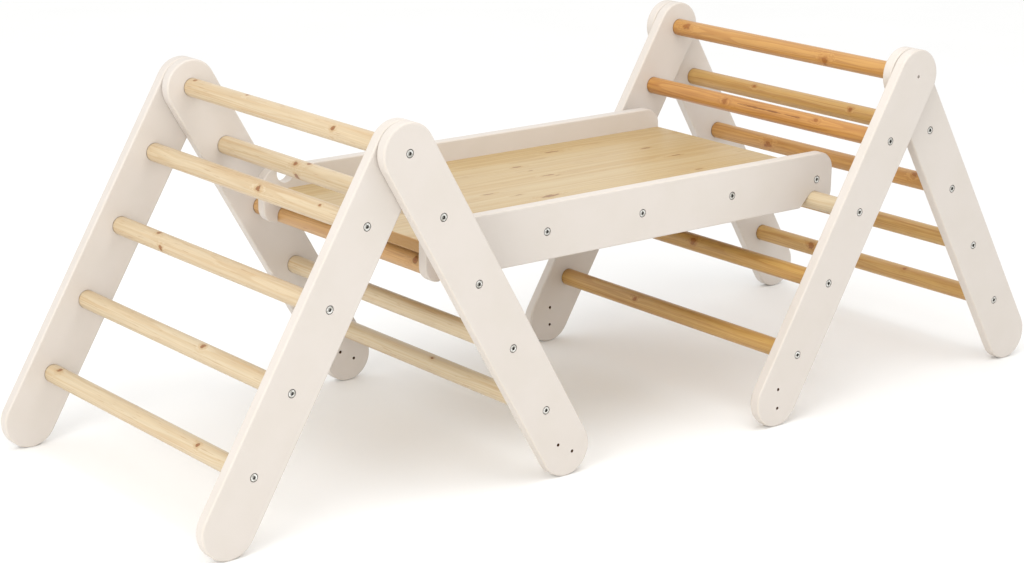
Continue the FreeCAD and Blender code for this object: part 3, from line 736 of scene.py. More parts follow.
class GrowingTree:
    """A geometry tree that turns a rod on each point and sets it in its place."""

    def __init__(self, name: str, inputs: Mapping[str, tuple[str, Any]]) -> None:
        """Starts the tree with its named inputs.

        Args:
            name: the tree's name.
            inputs: input name to its socket type and default.
        """
        self.tree = bpy.data.node_groups.new(name, "GeometryNodeTree")
        face = self.tree.interface
        face.new_socket("Geometry", in_out="INPUT", socket_type="NodeSocketGeometry")
        for key, (kind, default) in inputs.items():
            socket = face.new_socket(key, in_out="INPUT", socket_type=kind)
            if default is not None:
                socket.default_value = default
        face.new_socket("Geometry", in_out="OUTPUT", socket_type="NodeSocketGeometry")
        self.given = add(self.tree, "NodeGroupInput").node.outputs

    def by_index(self, values: Sequence[Any]) -> bpy.types.NodeSocket:
        """Picks one of several numbers by the point's index.

        Args:
            values: numbers or sockets, one for each point.

        Returns:
            The number for the point.
        """
        picker = add(self.tree, "GeometryNodeIndexSwitch", data_type="FLOAT").node
        while len(picker.index_switch_items) < len(values):
            picker.index_switch_items.new()
        feed(self.tree, picker.inputs["Index"], add(self.tree, "GeometryNodeInputIndex"))
        for place, value in enumerate(values):
            feed(self.tree, picker.inputs[str(place)], value)
        return picker.outputs[0]

    def rod(
        self, count: int, along: bpy.types.NodeSocket, width: bpy.types.NodeSocket,
        section: bpy.types.NodeSocket,
    ) -> bpy.types.NodeSocket:
        """Sweeps a section along +Y through stations of different widths.

        Args:
            count: number of stations.
            along: each station's distance along the rod.
            width: each station's scale of the section.
            section: the section's curve.

        Returns:
            The closed rod.
        """
        tree = self.tree
        line = add(tree, "GeometryNodeCurvePrimitiveLine", feeds={"End": (0.0, 1.0, 0.0)})
        stations = add(tree, "GeometryNodeResampleCurve", feeds={"Curve": line, "Count": count})
        spot = add(tree, "ShaderNodeCombineXYZ", feeds={"Y": along})
        path = add(tree, "GeometryNodeSetPosition", feeds={"Geometry": stations, "Position": spot})
        return add(tree, "GeometryNodeCurveToMesh",
                   feeds={"Curve": path, "Profile Curve": section, "Scale": width,
                          "Fill Caps": True})

    def crisp(self, mesh: bpy.types.NodeSocket) -> bpy.types.NodeSocket:
        """Smooths a mesh except where its faces turn sharply.

        Args:
            mesh: the mesh to shade.

        Returns:
            The shaded mesh.
        """
        tree = self.tree
        smooth = add(tree, "GeometryNodeSetShadeSmooth", feeds={"Geometry": mesh})
        angle = add(tree, "GeometryNodeInputMeshEdgeAngle")
        sharp = add(tree, MATH, angle, SHARP_EDGE, operation="GREATER_THAN")
        return add(tree, "GeometryNodeSetShadeSmooth",
                   feeds={"Geometry": smooth, "Selection": sharp, "Shade Smooth": False},
                   domain="EDGE")

    def set_out(self, mesh: bpy.types.NodeSocket, **feeds: Any) -> bpy.types.NodeSocket:
        """Sets a copy of a mesh on every point and makes them real.

        Args:
            mesh: what is set on each point.
            feeds: more inputs of the node that does it, such as Rotation.

        Returns:
            All the copies as one mesh.
        """
        placed = add(self.tree, "GeometryNodeInstanceOnPoints",
                     feeds={"Points": self.given["Geometry"], "Instance": mesh, **feeds})
        return add(self.tree, "GeometryNodeRealizeInstances", feeds={"Geometry": placed})

    def finish(self, mesh: bpy.types.NodeSocket) -> bpy.types.NodeTree:
        """Gives the mesh its material and closes the tree.

        Args:
            mesh: the realised mesh.

        Returns:
            The finished tree.
        """
        dressed = add(self.tree, "GeometryNodeSetMaterial",
                      feeds={"Geometry": mesh, "Material": self.given["Material"]})
        add(self.tree, "NodeGroupOutput", dressed)
        return self.tree


def timber_tree(section: Section) -> bpy.types.NodeTree:
    """Builds the tree that cuts equal sticks and sets one on each point, running along +Y.

    Args:
        section: round for rungs, flat for battens.

    Returns:
        The tree, whose inputs are the stick's sizes and its material.
    """
    size = "NodeSocketFloat"
    made = GrowingTree(f"{section.value}_sticks", {
        "Length": (size, 0.5), "Width": (size, 0.03), "Thickness": (size, 0.03),
        "Corner Round": (size, 0.004), "Let In": (size, 0.006), "Let In Scale": (size, 0.98),
        "Shoulder": (size, 0.0005), "Sides": ("NodeSocketInt", 56),
        "Material": ("NodeSocketMaterial", None)})
    tree, given = made.tree, made.given
    inner = add(tree, MATH, given["Let In"], given["Shoulder"], operation="ADD")
    along = made.by_index((0.0, given["Let In"], inner,
                           add(tree, MATH, given["Length"], inner, operation="SUBTRACT"),
                           add(tree, MATH, given["Length"], given["Let In"], operation="SUBTRACT"),
                           given["Length"]))
    end = given["Let In Scale"]
    width = made.by_index((end, end, 1.0, 1.0, end, end))
    if section is Section.ROUND:
        radius = add(tree, MATH, given["Width"], 0.5, operation="MULTIPLY")
        outline = add(tree, "GeometryNodeCurvePrimitiveCircle",
                      feeds={"Resolution": given["Sides"], "Radius": radius})
    else:
        box = add(tree, "GeometryNodeCurvePrimitiveQuadrilateral",
                  feeds={"Width": given["Thickness"], "Height": given["Width"]})
        outline = add(tree, "GeometryNodeFilletCurve",
                      feeds={"Curve": box, "Count": 5, "Radius": given["Corner Round"]},
                      mode="POLY")
    stick = made.crisp(made.rod(6, along, width, outline))
    here = add(tree, "GeometryNodeInputPosition")
    stick = add(tree, "GeometryNodeStoreNamedAttribute", stick, True, "timber", here,
                data_type="FLOAT_VECTOR")
    real = made.set_out(stick)
    in_log = add(tree, VECTOR,
                 add(tree, "GeometryNodeInputNamedAttribute", "timber", data_type="FLOAT_VECTOR"),
                 add(tree, "GeometryNodeInputNamedAttribute", "pith", data_type="FLOAT_VECTOR"),
                 operation="ADD")
    return made.finish(add(tree, "GeometryNodeStoreNamedAttribute", real, True, "timber", in_log,
                           data_type="FLOAT_VECTOR"))


def screw_tree() -> bpy.types.NodeTree:
    """Builds the tree that turns a socket screw and drives one in at each point.

    A point's "inward" is +1 where the screw goes in along +Y and -1 along -Y. Each key
    socket is left at its own angle, as a hand-driven screw's is.

    Returns:
        The tree, whose inputs are the screw's sizes and its material.
    """
    size = "NodeSocketFloat"
    plain = 6                   # stations from the head's top to the end of the plain shank
    ridges = 18                 # stations along the thread, root and crest in turn
    neck = 0.0006               # metres, the cone from under the head to the shank
    core_share = 0.72           # the thread's root, as a share of its crest
    rim_step = 0.3              # where the rim's rounding bends, as a share of it
    made = GrowingTree("socket_screws", {
        "Head Diameter": (size, 0.01), "Head Height": (size, 0.004), "Rim Round": (size, 0.0005),
        "Shank Diameter": (size, 0.007), "Shank End": (size, 0.018),
        "Thread Diameter": (size, 0.0062), "Thread Length": (size, 0.03),
        "Key Flats": (size, 0.004), "Key Depth": (size, 0.0025),
        "Sides": ("NodeSocketInt", 28), "Seed": ("NodeSocketInt", 7),
        "Material": ("NodeSocketMaterial", None)})
    tree, given = made.tree, made.given
    head = add(tree, MATH, given["Head Diameter"], 0.5, operation="MULTIPLY")
    shank = add(tree, MATH, given["Shank Diameter"], 0.5, operation="MULTIPLY")
    thread = add(tree, MATH, given["Thread Diameter"], 0.5, operation="MULTIPLY")
    rim = given["Rim Round"]
    half_rim = add(tree, MATH, rim, rim_step, operation="MULTIPLY")
    seat = given["Head Height"]
    under = add(tree, MATH, seat, neck, operation="ADD")
    start_along = made.by_index((0.0, half_rim, rim, seat, under, given["Shank End"]))
    start_width = made.by_index((add(tree, MATH, head, rim, operation="SUBTRACT"),
                                 add(tree, MATH, head, half_rim, operation="SUBTRACT"), head, head,
                                 shank, shank))
    index = add(tree, "GeometryNodeInputIndex")
    step = add(tree, MATH, index, plain - 1.0, operation="SUBTRACT")
    pitch = add(tree, MATH, given["Thread Length"], float(ridges), operation="DIVIDE")
    thread_along = add(tree, MATH, step, pitch, given["Shank End"], operation="MULTIPLY_ADD")
    core = add(tree, MATH, thread, core_share, operation="MULTIPLY")
    crest = add(tree, MATH, index, 2.0, operation="MODULO")
    thread_width = add(tree, MATH, crest, add(tree, MATH, thread, core, operation="SUBTRACT"), core,
                       operation="MULTIPLY_ADD")
    in_thread = add(tree, MATH, index, plain - 0.5, operation="GREATER_THAN")
    along, width = (
        add(tree, "GeometryNodeSwitch", in_thread, first, second, input_type="FLOAT")
        for first, second in ((start_along, thread_along), (start_width, thread_width)))
    circle = add(tree, "GeometryNodeCurvePrimitiveCircle",
                 feeds={"Resolution": given["Sides"], "Radius": 1.0})
    blank = made.rod(plain + ridges, along, width, circle)
    corner = add(tree, MATH, given["Key Flats"], 2 * math.cos(math.pi / 6), operation="DIVIDE")
    reach = add(tree, MATH, given["Key Depth"], 2.0, operation="MULTIPLY")
    broach = add(tree, "GeometryNodeMeshCylinder",
                 feeds={"Vertices": 6, "Radius": corner, "Depth": reach})
    broach = add(tree, "GeometryNodeTransform",
                 feeds={"Geometry": broach, "Rotation": (math.pi / 2, 0.0, 0.0)})
    cut = add(tree, "GeometryNodeMeshBoolean", feeds={"Mesh 1": blank, "Mesh 2": broach},
              operation="DIFFERENCE", solver="EXACT")
    here = add(tree, "GeometryNodeInputPosition")
    screw = add(tree, "GeometryNodeStoreNamedAttribute", made.crisp(cut), True, "turned", here,
                data_type="FLOAT_VECTOR")
    spin = add(tree, "FunctionNodeRandomValue", 0.0, math.pi / 3, feeds={"Seed": given["Seed"]},
               data_type="FLOAT")
    away = add(tree, MATH,
               add(tree, "GeometryNodeInputNamedAttribute", "inward", data_type="FLOAT"), 0.0,
               operation="LESS_THAN")
    turn = add(tree, "ShaderNodeCombineXYZ",
               feeds={"Y": spin, "Z": add(tree, MATH, away, math.pi, operation="MULTIPLY")})
    return made.finish(
        made.set_out(screw, Rotation=add(tree, "FunctionNodeEulerToRotation", turn)))


def lining_tree() -> bpy.types.NodeTree:
    """Builds the tree that lines a drilled hole at each point, running along +Y.

    Returns:
        The tree, whose inputs are the hole's sizes and its material.
    """
    size = "NodeSocketFloat"
    made = GrowingTree("hole_linings", {
        "Depth": (size, 0.018), "Diameter": (size, 0.005), "Wall": (size, 0.0001),
        "Sides": ("NodeSocketInt", 32), "Material": ("NodeSocketMaterial", None)})
    tree, given = made.tree, made.given
    overshoot = 0.001           # metres, so that the core cuts cleanly through both ends
    outer = add(tree, MATH, given["Diameter"], 0.5, operation="MULTIPLY")
    inner = add(tree, MATH, outer, given["Wall"], operation="SUBTRACT")
    full = made.by_index((0.0, given["Depth"]))
    plug = made.rod(2, full, made.by_index((1.0, 1.0)),
                    add(tree, "GeometryNodeCurvePrimitiveCircle",
                        feeds={"Resolution": given["Sides"], "Radius": outer}))
    past = made.by_index((-overshoot, add(tree, MATH, given["Depth"], overshoot,
                                          operation="ADD")))
    core = made.rod(2, past, made.by_index((1.0, 1.0)),
                    add(tree, "GeometryNodeCurvePrimitiveCircle",
                        feeds={"Resolution": given["Sides"], "Radius": inner}))
    tube = add(tree, "GeometryNodeMeshBoolean", feeds={"Mesh 1": plug, "Mesh 2": core},
               operation="DIFFERENCE", solver="EXACT")
    return made.finish(made.set_out(made.crisp(tube)))


@dataclass
class Trees:
    """The geometry trees that the sub-assemblies share."""

    rungs: bpy.types.NodeTree
    battens: bpy.types.NodeTree
    screws: bpy.types.NodeTree
    linings: bpy.types.NodeTree


@dataclass
class Materials:
    """The finished materials, one of each."""

    paint: bpy.types.Material
    light_pine: bpy.types.Material
    warm_pine: bpy.types.Material
    bed_pine: bpy.types.Material
    zinc: bpy.types.Material
    nylon: bpy.types.Material
    drilled: bpy.types.Material


# --- sub-assemblies ---

@dataclass(frozen=True)
class ScrewSizes:
    """Sizes of the socket screws, millimetres."""

    head_diameter: float = 12.0
    head_height: float = 4.0
    rim_round: float = 1.1
    shank_diameter: float = 7.0
    thread_diameter: float = 6.2
    thread_length: float = 30.0
    key_flats: float = 5.0
    key_depth: float = 2.5
    set_back: float = 0.2
    board: float = 18.0
    sides: int = 28


class Assembly:
    """Something that is built out of frame nodes and new pieces."""

    def __init__(self, trees: Trees, materials: Materials) -> None:
        """Keeps the shared trees and materials."""
        self.trees = trees
        self.materials = materials

    def keep(self, node: str, material: bpy.types.Material) -> None:
        """Gives a CAD node its finish.

        Args:
            node: the node's name.
            material: the finish.
        """
        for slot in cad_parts[node].material_slots:
            slot.material = material
        log.info("dressed %s in %s", node, material.name)

    def stand_in(
        self, piece: bpy.types.Object, body: str, nodes: Sequence[str]
    ) -> None:
        """Puts a new piece on its body in place of CAD nodes.

        Args:
            piece: the new piece.
            body: the body that carries it.
            nodes: the CAD nodes that it stands for.
        """
        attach(piece, body)
        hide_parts(*nodes)
        log.info("built %s on %s: %d faces", piece.name, body, len(piece.data.polygons))

    def drive_screws(
        self, name: str, places: Sequence[tuple[Vector, float]], sizes: ScrewSizes, seed: int
    ) -> bpy.types.Object:
        """Drives socket screws into a board.

        Args:
            name: the piece's name.
            places: the middle of each head's top, and +1 or -1 for the way it goes in along Y.
            sizes: the screws' sizes.
            seed: fixes the angle that each key socket is left at.

        Returns:
            All the screws as one mesh.
        """
        points = seats(name + "_seats", [p for p, _ in places],
                       [{"inward": way} for _, way in places])
        return grow(name, self.trees.screws, points, {
            "Head Diameter": sizes.head_diameter * MM, "Head Height": sizes.head_height * MM,
            "Rim Round": sizes.rim_round * MM, "Shank Diameter": sizes.shank_diameter * MM,
            "Shank End": (sizes.board - sizes.set_back) * MM,
            "Thread Diameter": sizes.thread_diameter * MM,
            "Thread Length": sizes.thread_length * MM, "Key Flats": sizes.key_flats * MM,
            "Key Depth": sizes.key_depth * MM, "Sides": sizes.sides, "Seed": seed,
            "Material": self.materials.zinc})


class Side(Enum):
    """Which of the two stands."""

    LEFT = "left"
    RIGHT = "right"


class Ladder(Enum):
    """Which of a stand's two ladders."""

    BRIDGE = "bridge"
    END = "end"


def middle_of(node: str) -> Vector:
    """Returns the middle of a CAD node's box."""
    low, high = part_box(node)
    return (low + high) / 2


@dataclass
class Stand:
    """One A-frame: two ladders of painted boards and pine rungs that share a top rung."""

    side: Side
    trees: Trees
    materials: Materials
    bridge_cuts: tuple[Cut, Cut, Cut, Cut]      # rungs from the top down
    end_cuts: tuple[Cut, Cut, Cut, Cut]
    top_cut: Cut
    odd_rung: int = 0           # a bridge rung, counted from 1, made of the other pine
    socket_depth: float = 6.0   # how far a rung is let into its boards
    seat_gap: float = 0.8       # the rung's end is this much slimmer, so its seat shows a line
    shoulder: float = 0.7       # length of the small step at the board's face
    rung_sides: int = 64
    foot_holes: tuple[tuple[float, float], ...] = ((531.01, -9.0), (556.99, 6.0))
    foot_hole_diameter: float = 5.0
    lining_clearance: float = 0.25  # from a board's face to where the bare wall shows
    lining_gap: float = 0.01
    lining_wall: float = 0.08
    lining_sides: int = 32
    axle_screw_seed: int = 3
    screw: ScrewSizes = ScrewSizes()

    def build(self) -> None:
        """Builds and dresses the whole stand."""
        shop = Assembly(self.trees, self.materials)
        name = self.side.value
        self._rungs(shop, Ladder.BRIDGE, self.bridge_cuts)
        self._rungs(shop, Ladder.END, self.end_cuts)
        self._top_rung(shop)
        for ladder in Ladder:
            for place in ("near", "far"):
                shop.keep(f"{name}_{ladder.value}_leg_{place}", self.materials.paint)
            self._rung_screws(shop, ladder)
        self._axle_screws(shop)
        self._hole_linings(shop)
        shop.keep(f"{name}_axle_washers", self.materials.nylon)
        if self.side is Side.RIGHT:
            shop.keep("right_axle_pin_near", self.materials.zinc)

    def _wood(self, odd: bool) -> tuple[bpy.types.Material, str]:
        """Returns the pine of this stand, or of the other one, with the record's slot."""
        if (self.side is Side.LEFT) != odd:
            return self.materials.light_pine, "light_pine"
        return self.materials.warm_pine, "warm_pine"

    def _turn(
        self, shop: Assembly, name: str, nodes: Sequence[str], cuts: Sequence[Cut], body: str,
        odd: bool = False,
    ) -> None:
        """Turns equal rungs and sets each in its sockets.

        Args:
            shop: the shared helpers.
            name: the piece's name.
            nodes: the CAD rungs that it stands for.
            cuts: how each rung lay in its log.
            body: the body that carries them.
            odd: whether they are made of the other stand's pine.
        """
        starts, kept = [], []
        low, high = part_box(nodes[0])
        diameter = (high.x - low.x) / MM
        for place, (node, cut) in enumerate(zip(nodes, cuts)):
            middle = middle_of(node)
            starts.append(Vector((middle.x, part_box(node)[0].y, middle.z)))
            log_start = 1.0 + 0.9 * place + 0.4 * len(name)     # metres; no two rungs share wood
            kept.append(cut.attributes(log_start, diameter / 2))
        material, slot = self._wood(odd)
        points = seats(name + "_seats", starts, kept)
        piece = grow(name, self.trees.rungs, points, {
            "Length": high.y - low.y, "Width": diameter * MM,
            "Let In": (self.socket_depth + self.shoulder) * MM,
            "Let In Scale": 1 - 2 * self.seat_gap / diameter, "Shoulder": self.shoulder * MM,
            "Sides": self.rung_sides, "Material": material})
        shop.stand_in(piece, body, nodes)

    def _rungs(self, shop: Assembly, ladder: Ladder, cuts: Sequence[Cut]) -> None:
        """Makes the four rungs of one ladder.

        Args:
            shop: the shared helpers.
            ladder: which ladder.
            cuts: how each rung lay in its log, from the top down.
        """
        stem = f"{self.side.value}_{ladder.value}"
        body = f"{stem}_ladder"
        numbers = range(1, len(cuts) + 1)
        odd = self.odd_rung if ladder is Ladder.BRIDGE else 0
        usual = [i for i in numbers if i != odd]
        self._turn(shop, f"{stem}_turned_rungs", [f"{stem}_rung_{i}" for i in usual],
                   [cuts[i - 1] for i in usual], body)
        if odd:
            self._turn(shop, f"{stem}_hooked_rung", [f"{stem}_rung_{odd}"], [cuts[odd - 1]], body,
                       odd=True)

    def _top_rung(self, shop: Assembly) -> None:
        """Makes the shared top rung, which is the axle."""
        name = self.side.value
        self._turn(shop, f"{name}_turned_axle", [f"{name}_top_rung"], [self.top_cut],
                   f"{name}_bridge_ladder")

    def _rung_screws(self, shop: Assembly, ladder: Ladder) -> None:
        """Drives a screw through each leg into the end of each rung.

        Args:
            shop: the shared helpers.
            ladder: which ladder.
        """
        stem = f"{self.side.value}_{ladder.value}"
        low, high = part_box(f"{stem}_rung_screws")
        places = []
        for number in range(1, 5):
            middle = middle_of(f"{stem}_rung_{number}")
            places.append((Vector((middle.x, low.y, middle.z)), 1.0))
            places.append((Vector((middle.x, high.y, middle.z)), -1.0))
        piece = shop.drive_screws(f"{stem}_socket_screws", places, self.screw, len(stem))
        shop.stand_in(piece, f"{stem}_ladder", [f"{stem}_rung_screws"])

    def _axle_screws(self, shop: Assembly) -> None:
        """Drives the longer screws that clamp the top rung between the outer legs."""
        name = self.side.value
        ends = ("near", "far") if self.side is Side.LEFT else ("far",)
        for end in ends:
            node = f"{name}_axle_screw_{end}"
            low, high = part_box(node)
            middle = middle_of(node)
            top, way = (low.y, 1.0) if end == "near" else (high.y, -1.0)
            thread = self.screw.thread_length
            sizes = ScrewSizes(board=(high.y - low.y) / MM - thread + self.screw.set_back)
            piece = shop.drive_screws(f"{node}_turned", [(Vector((middle.x, top, middle.z)), way)],
                                      sizes, self.axle_screw_seed)
            shop.stand_in(piece, f"{name}_bridge_ladder", [node])

    def _hole_linings(self, shop: Assembly) -> None:
        """Lines the accessory holes at the feet of the bridge ladder with bare board in painted
        shade.

        Args:
            shop: the shared helpers; not used.
        """
        stem = f"{self.side.value}_bridge"
        axle, lowest = (middle_of(f"{self.side.value}_top_rung"), middle_of(f"{stem}_rung_4"))
        down = (lowest - axle).to_3d()
        down.y = 0.0
        down.normalize()
        across = Vector((-down.z, 0.0, down.x))
        clear = self.lining_clearance * MM
        places = []
        for end in ("near", "far"):
            low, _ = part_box(f"{stem}_leg_{end}")
            for drop, aside in self.foot_holes:
                spot = axle + (down * drop + across * aside) * MM
                places.append(Vector((spot.x, low.y + clear, spot.z)))
        points = seats(f"{stem}_lining_seats", places, [{}] * len(places))
        piece = grow(f"{stem}_hole_linings", self.trees.linings, points, {
            "Depth": (self.screw.board - 2 * self.lining_clearance) * MM,
            "Diameter": (self.foot_hole_diameter - 2 * self.lining_gap) * MM,
            "Wall": self.lining_wall * MM, "Sides": self.lining_sides,
            "Material": self.materials.drilled})
        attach(piece, f"{stem}_ladder")
        log.info("lined %d holes on %s", len(places), stem)


@dataclass(frozen=True)
class Stave:
    """One strip of the glued bed: how it was cut, and the knots on its upper face."""

    pith_aside: float           # from the strip's middle line to above its pith
    pith_below: float           # from the upper face down to the pith
    tone: float
    knots: tuple[tuple[float, float, float], ...] = ()  # x, y and radius on the upper face


@dataclass
class SlideBoard:
    """The reversible board: painted side rails, a glued pine bed and climbing battens below."""

    trees: Trees
    materials: Materials
    staves: tuple[Stave, ...]
    end_round: float = 3.0
    arc_steps: int = 6
    support: float = 1.5        # a face loop this far from each round keeps the flat face flat
    rail_screw_count: int = 5
    batten_count: int = 5
    batten_corner: float = 4.0
    batten_chamfer: float = 1.2
    batten_let_in: float = 0.05
    batten_end_scale: float = 0.95  # a batten's end face, as a share of its section
    batten_seed: int = 11
    rail_screw_seed: int = 5
    end_face_slope: float = 0.3     # a face whose normal leans this far along X is an end
    screw: ScrewSizes = ScrewSizes()

    def build(self) -> None:
        """Builds and dresses the slide board."""
        shop = Assembly(self.trees, self.materials)
        for place in ("near", "far"):
            shop.keep(f"slide_rail_{place}", self.materials.paint)
        shop.keep("batten_screws", self.materials.zinc)
        shop.stand_in(self._bed(), "slide_board", ["slide_bed"])
        self._battens(shop)
        for place, way in (("near", 1.0), ("far", -1.0)):
            self._rail_screws(shop, place, way)

    def _outline(self, low: Vector, high: Vector) -> list[tuple[float, float]]:
        """Draws the bed's section along its length, with rounded ends.

        Args:
            low: the bed's lowest corner, metres.
            high: its highest corner.

        Returns:
            Points as x and z, anticlockwise when seen from -Y.
        """
        r, s = self.end_round * MM, self.support * MM
        corners = ((high.x - r, low.z + r, -90), (high.x - r, high.z - r, 0),
                   (low.x + r, high.z - r, 90), (low.x + r, low.z + r, 180))
        outline: list[tuple[float, float]] = []
        for x, z, start in corners:
            arc = [math.radians(start + 90 * i / self.arc_steps) for i in range(self.arc_steps + 1)]
            rim = [(x + r * math.cos(a), z + r * math.sin(a)) for a in arc]
            first = {-90: (-s, 0.0), 0: (0.0, -s), 90: (s, 0.0), 180: (0.0, s)}[start]
            last = {-90: (0.0, s), 0: (-s, 0.0), 90: (0.0, -s), 180: (s, 0.0)}[start]
            outline.append((rim[0][0] + first[0], rim[0][1] + first[1]))
            outline.extend(rim)
            outline.append((rim[-1][0] + last[0], rim[-1][1] + last[1]))
        return outline

    def _bed(self) -> bpy.types.Object:
        """Builds the bed as one closed board whose strips each come from their own log.

        Returns:
            The bed.
        """
        low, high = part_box("slide_bed")
        outline = self._outline(low, high)
        count = len(self.staves)
        lines = [low.y + (high.y - low.y) * i / count for i in range(count + 1)]
        shell = bmesh.new()
        rings = [[shell.verts.new((x, y, z)) for x, z in outline] for y in lines]
        strip_of: list[int] = []
        for strip in range(count):
            for i in range(len(outline)):
                j = (i + 1) % len(outline)
                shell.faces.new((rings[strip][i], rings[strip][j], rings[strip + 1][j],
                                 rings[strip + 1][i]))
                strip_of.append(strip)
        shell.faces.new(list(reversed(rings[0])))
        shell.faces.new(rings[-1])
        strip_of += [0, count - 1]
        bmesh.ops.recalc_face_normals(shell, faces=shell.faces)
        for edge in shell.edges:
            edge.smooth = edge.calc_face_angle(0.0) < SHARP_EDGE
        for face in shell.faces:
            face.smooth = True
        mesh = bpy.data.meshes.new("glued_bed")
        shell.to_mesh(mesh)
        shell.free()
        mesh.materials.append(self.materials.bed_pine)
        self._cut_from_logs(mesh, strip_of, lines, low, high)
        return show("glued_bed", mesh)

    def _cut_from_logs(
        self, mesh: bpy.types.Mesh, strip_of: Sequence[int], lines: Sequence[float], low: Vector,
        high: Vector,
    ) -> None:
        """Stores where every corner of the bed lay in its strip's log.

        Args:
            mesh: the bed's mesh.
            strip_of: the strip that each face belongs to.
            lines: the y of each joint between strips.
            low: the bed's lowest corner.
            high: its highest corner.
        """
        vectors: dict[str, list[Vector]] = {
            key: [] for key in ("timber", SPLIT_SLOT, *KNOT_SLOTS)}
        numbers: dict[str, list[float]] = {"tone": [], "end_grain": []}
        for face in mesh.polygons:
            strip = strip_of[face.index]
            stave = self.staves[strip]
            centre = (lines[strip] + lines[strip + 1]) / 2 + stave.pith_aside * MM
            floor = high.z - stave.pith_below * MM
            start = 2.0 + 1.3 * strip
            knots = [Vector((MM, FAR_AWAY, 0.0))] * len(KNOT_SLOTS)
            for i, (x, y, radius) in enumerate(stave.knots):
                out = Vector((y * MM - centre, 0.0, high.z - floor)).normalized() * radius * MM
                knots[i] = Vector((out.x, start + x * MM - low.x, out.z))
            on_end = abs(face.normal.x) > self.end_face_slope
            for loop in face.loop_indices:
                p = mesh.vertices[mesh.loops[loop].vertex_index].co
                vectors["timber"].append(Vector((p.y - centre, start + p.x - low.x, p.z - floor)))
                vectors[SPLIT_SLOT].append(Vector((0.0, FAR_AWAY, 0.0)))
                for slot_name, knot in zip(KNOT_SLOTS, knots):
                    vectors[slot_name].append(knot)
                numbers["tone"].append(stave.tone)
                numbers["end_grain"].append(1.0 if on_end else 0.0)
        for key, rows in vectors.items():
            layer = mesh.attributes.new(key, "FLOAT_VECTOR", "CORNER")
            layer.data.foreach_set("vector", [v for row in rows for v in row])
        for key, row in numbers.items():
            mesh.attributes.new(key, "FLOAT", "CORNER").data.foreach_set("value", row)

    def _battens(self, shop: Assembly) -> None:
        """Cuts the climbing battens and sets them under the bed.

        Args:
            shop: the shared helpers.
        """
        draw = random.Random(self.batten_seed)
        nodes = [f"climb_batten_{i + 1}" for i in range(self.batten_count)]
        low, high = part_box(nodes[0])
        starts, kept = [], []
        for place, node in enumerate(nodes):
            middle = middle_of(node)
            starts.append(Vector((middle.x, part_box(node)[0].y, middle.z)))
            cut = Cut(draw.uniform(-120, -60), draw.uniform(25, 55), draw.uniform(0.1, 0.6))
            kept.append(cut.attributes(12.0 + 0.8 * place, (high.z - low.z) / 2 / MM))
        points = seats("batten_seats", starts, kept)
        piece = grow("climbing_battens", self.trees.battens, points, {
            "Length": high.y - low.y, "Width": high.x - low.x, "Thickness": high.z - low.z,
            "Corner Round": self.batten_corner * MM, "Let In": self.batten_let_in * MM,
            "Let In Scale": self.batten_end_scale, "Shoulder": self.batten_chamfer * MM,
            "Material": self.materials.bed_pine})
        shop.stand_in(piece, "slide_board", nodes)

    def _rail_screws(self, shop: Assembly, place: str, way: float) -> None:
        """Drives the screws that hold one rail to the bed.

        Args:
            shop: the shared helpers.
            place: near or far.
            way: +1 or -1, the way they go in along Y.
        """
        node = f"rail_screws_{place}"
        low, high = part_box(node)
        radius = (high.z - low.z) / 2
        first, last = low.x + radius, high.x - radius
        pitch = (last - first) / (self.rail_screw_count - 1)
        top = low.y if way > 0 else high.y
        places = [(Vector((first + i * pitch, top, (low.z + high.z) / 2)), way)
                  for i in range(self.rail_screw_count)]
        piece = shop.drive_screws(f"slide_{place}_socket_screws", places, self.screw,
                                  self.rail_screw_seed)
        shop.stand_in(piece, "slide_board", [node])


# --- studio ---

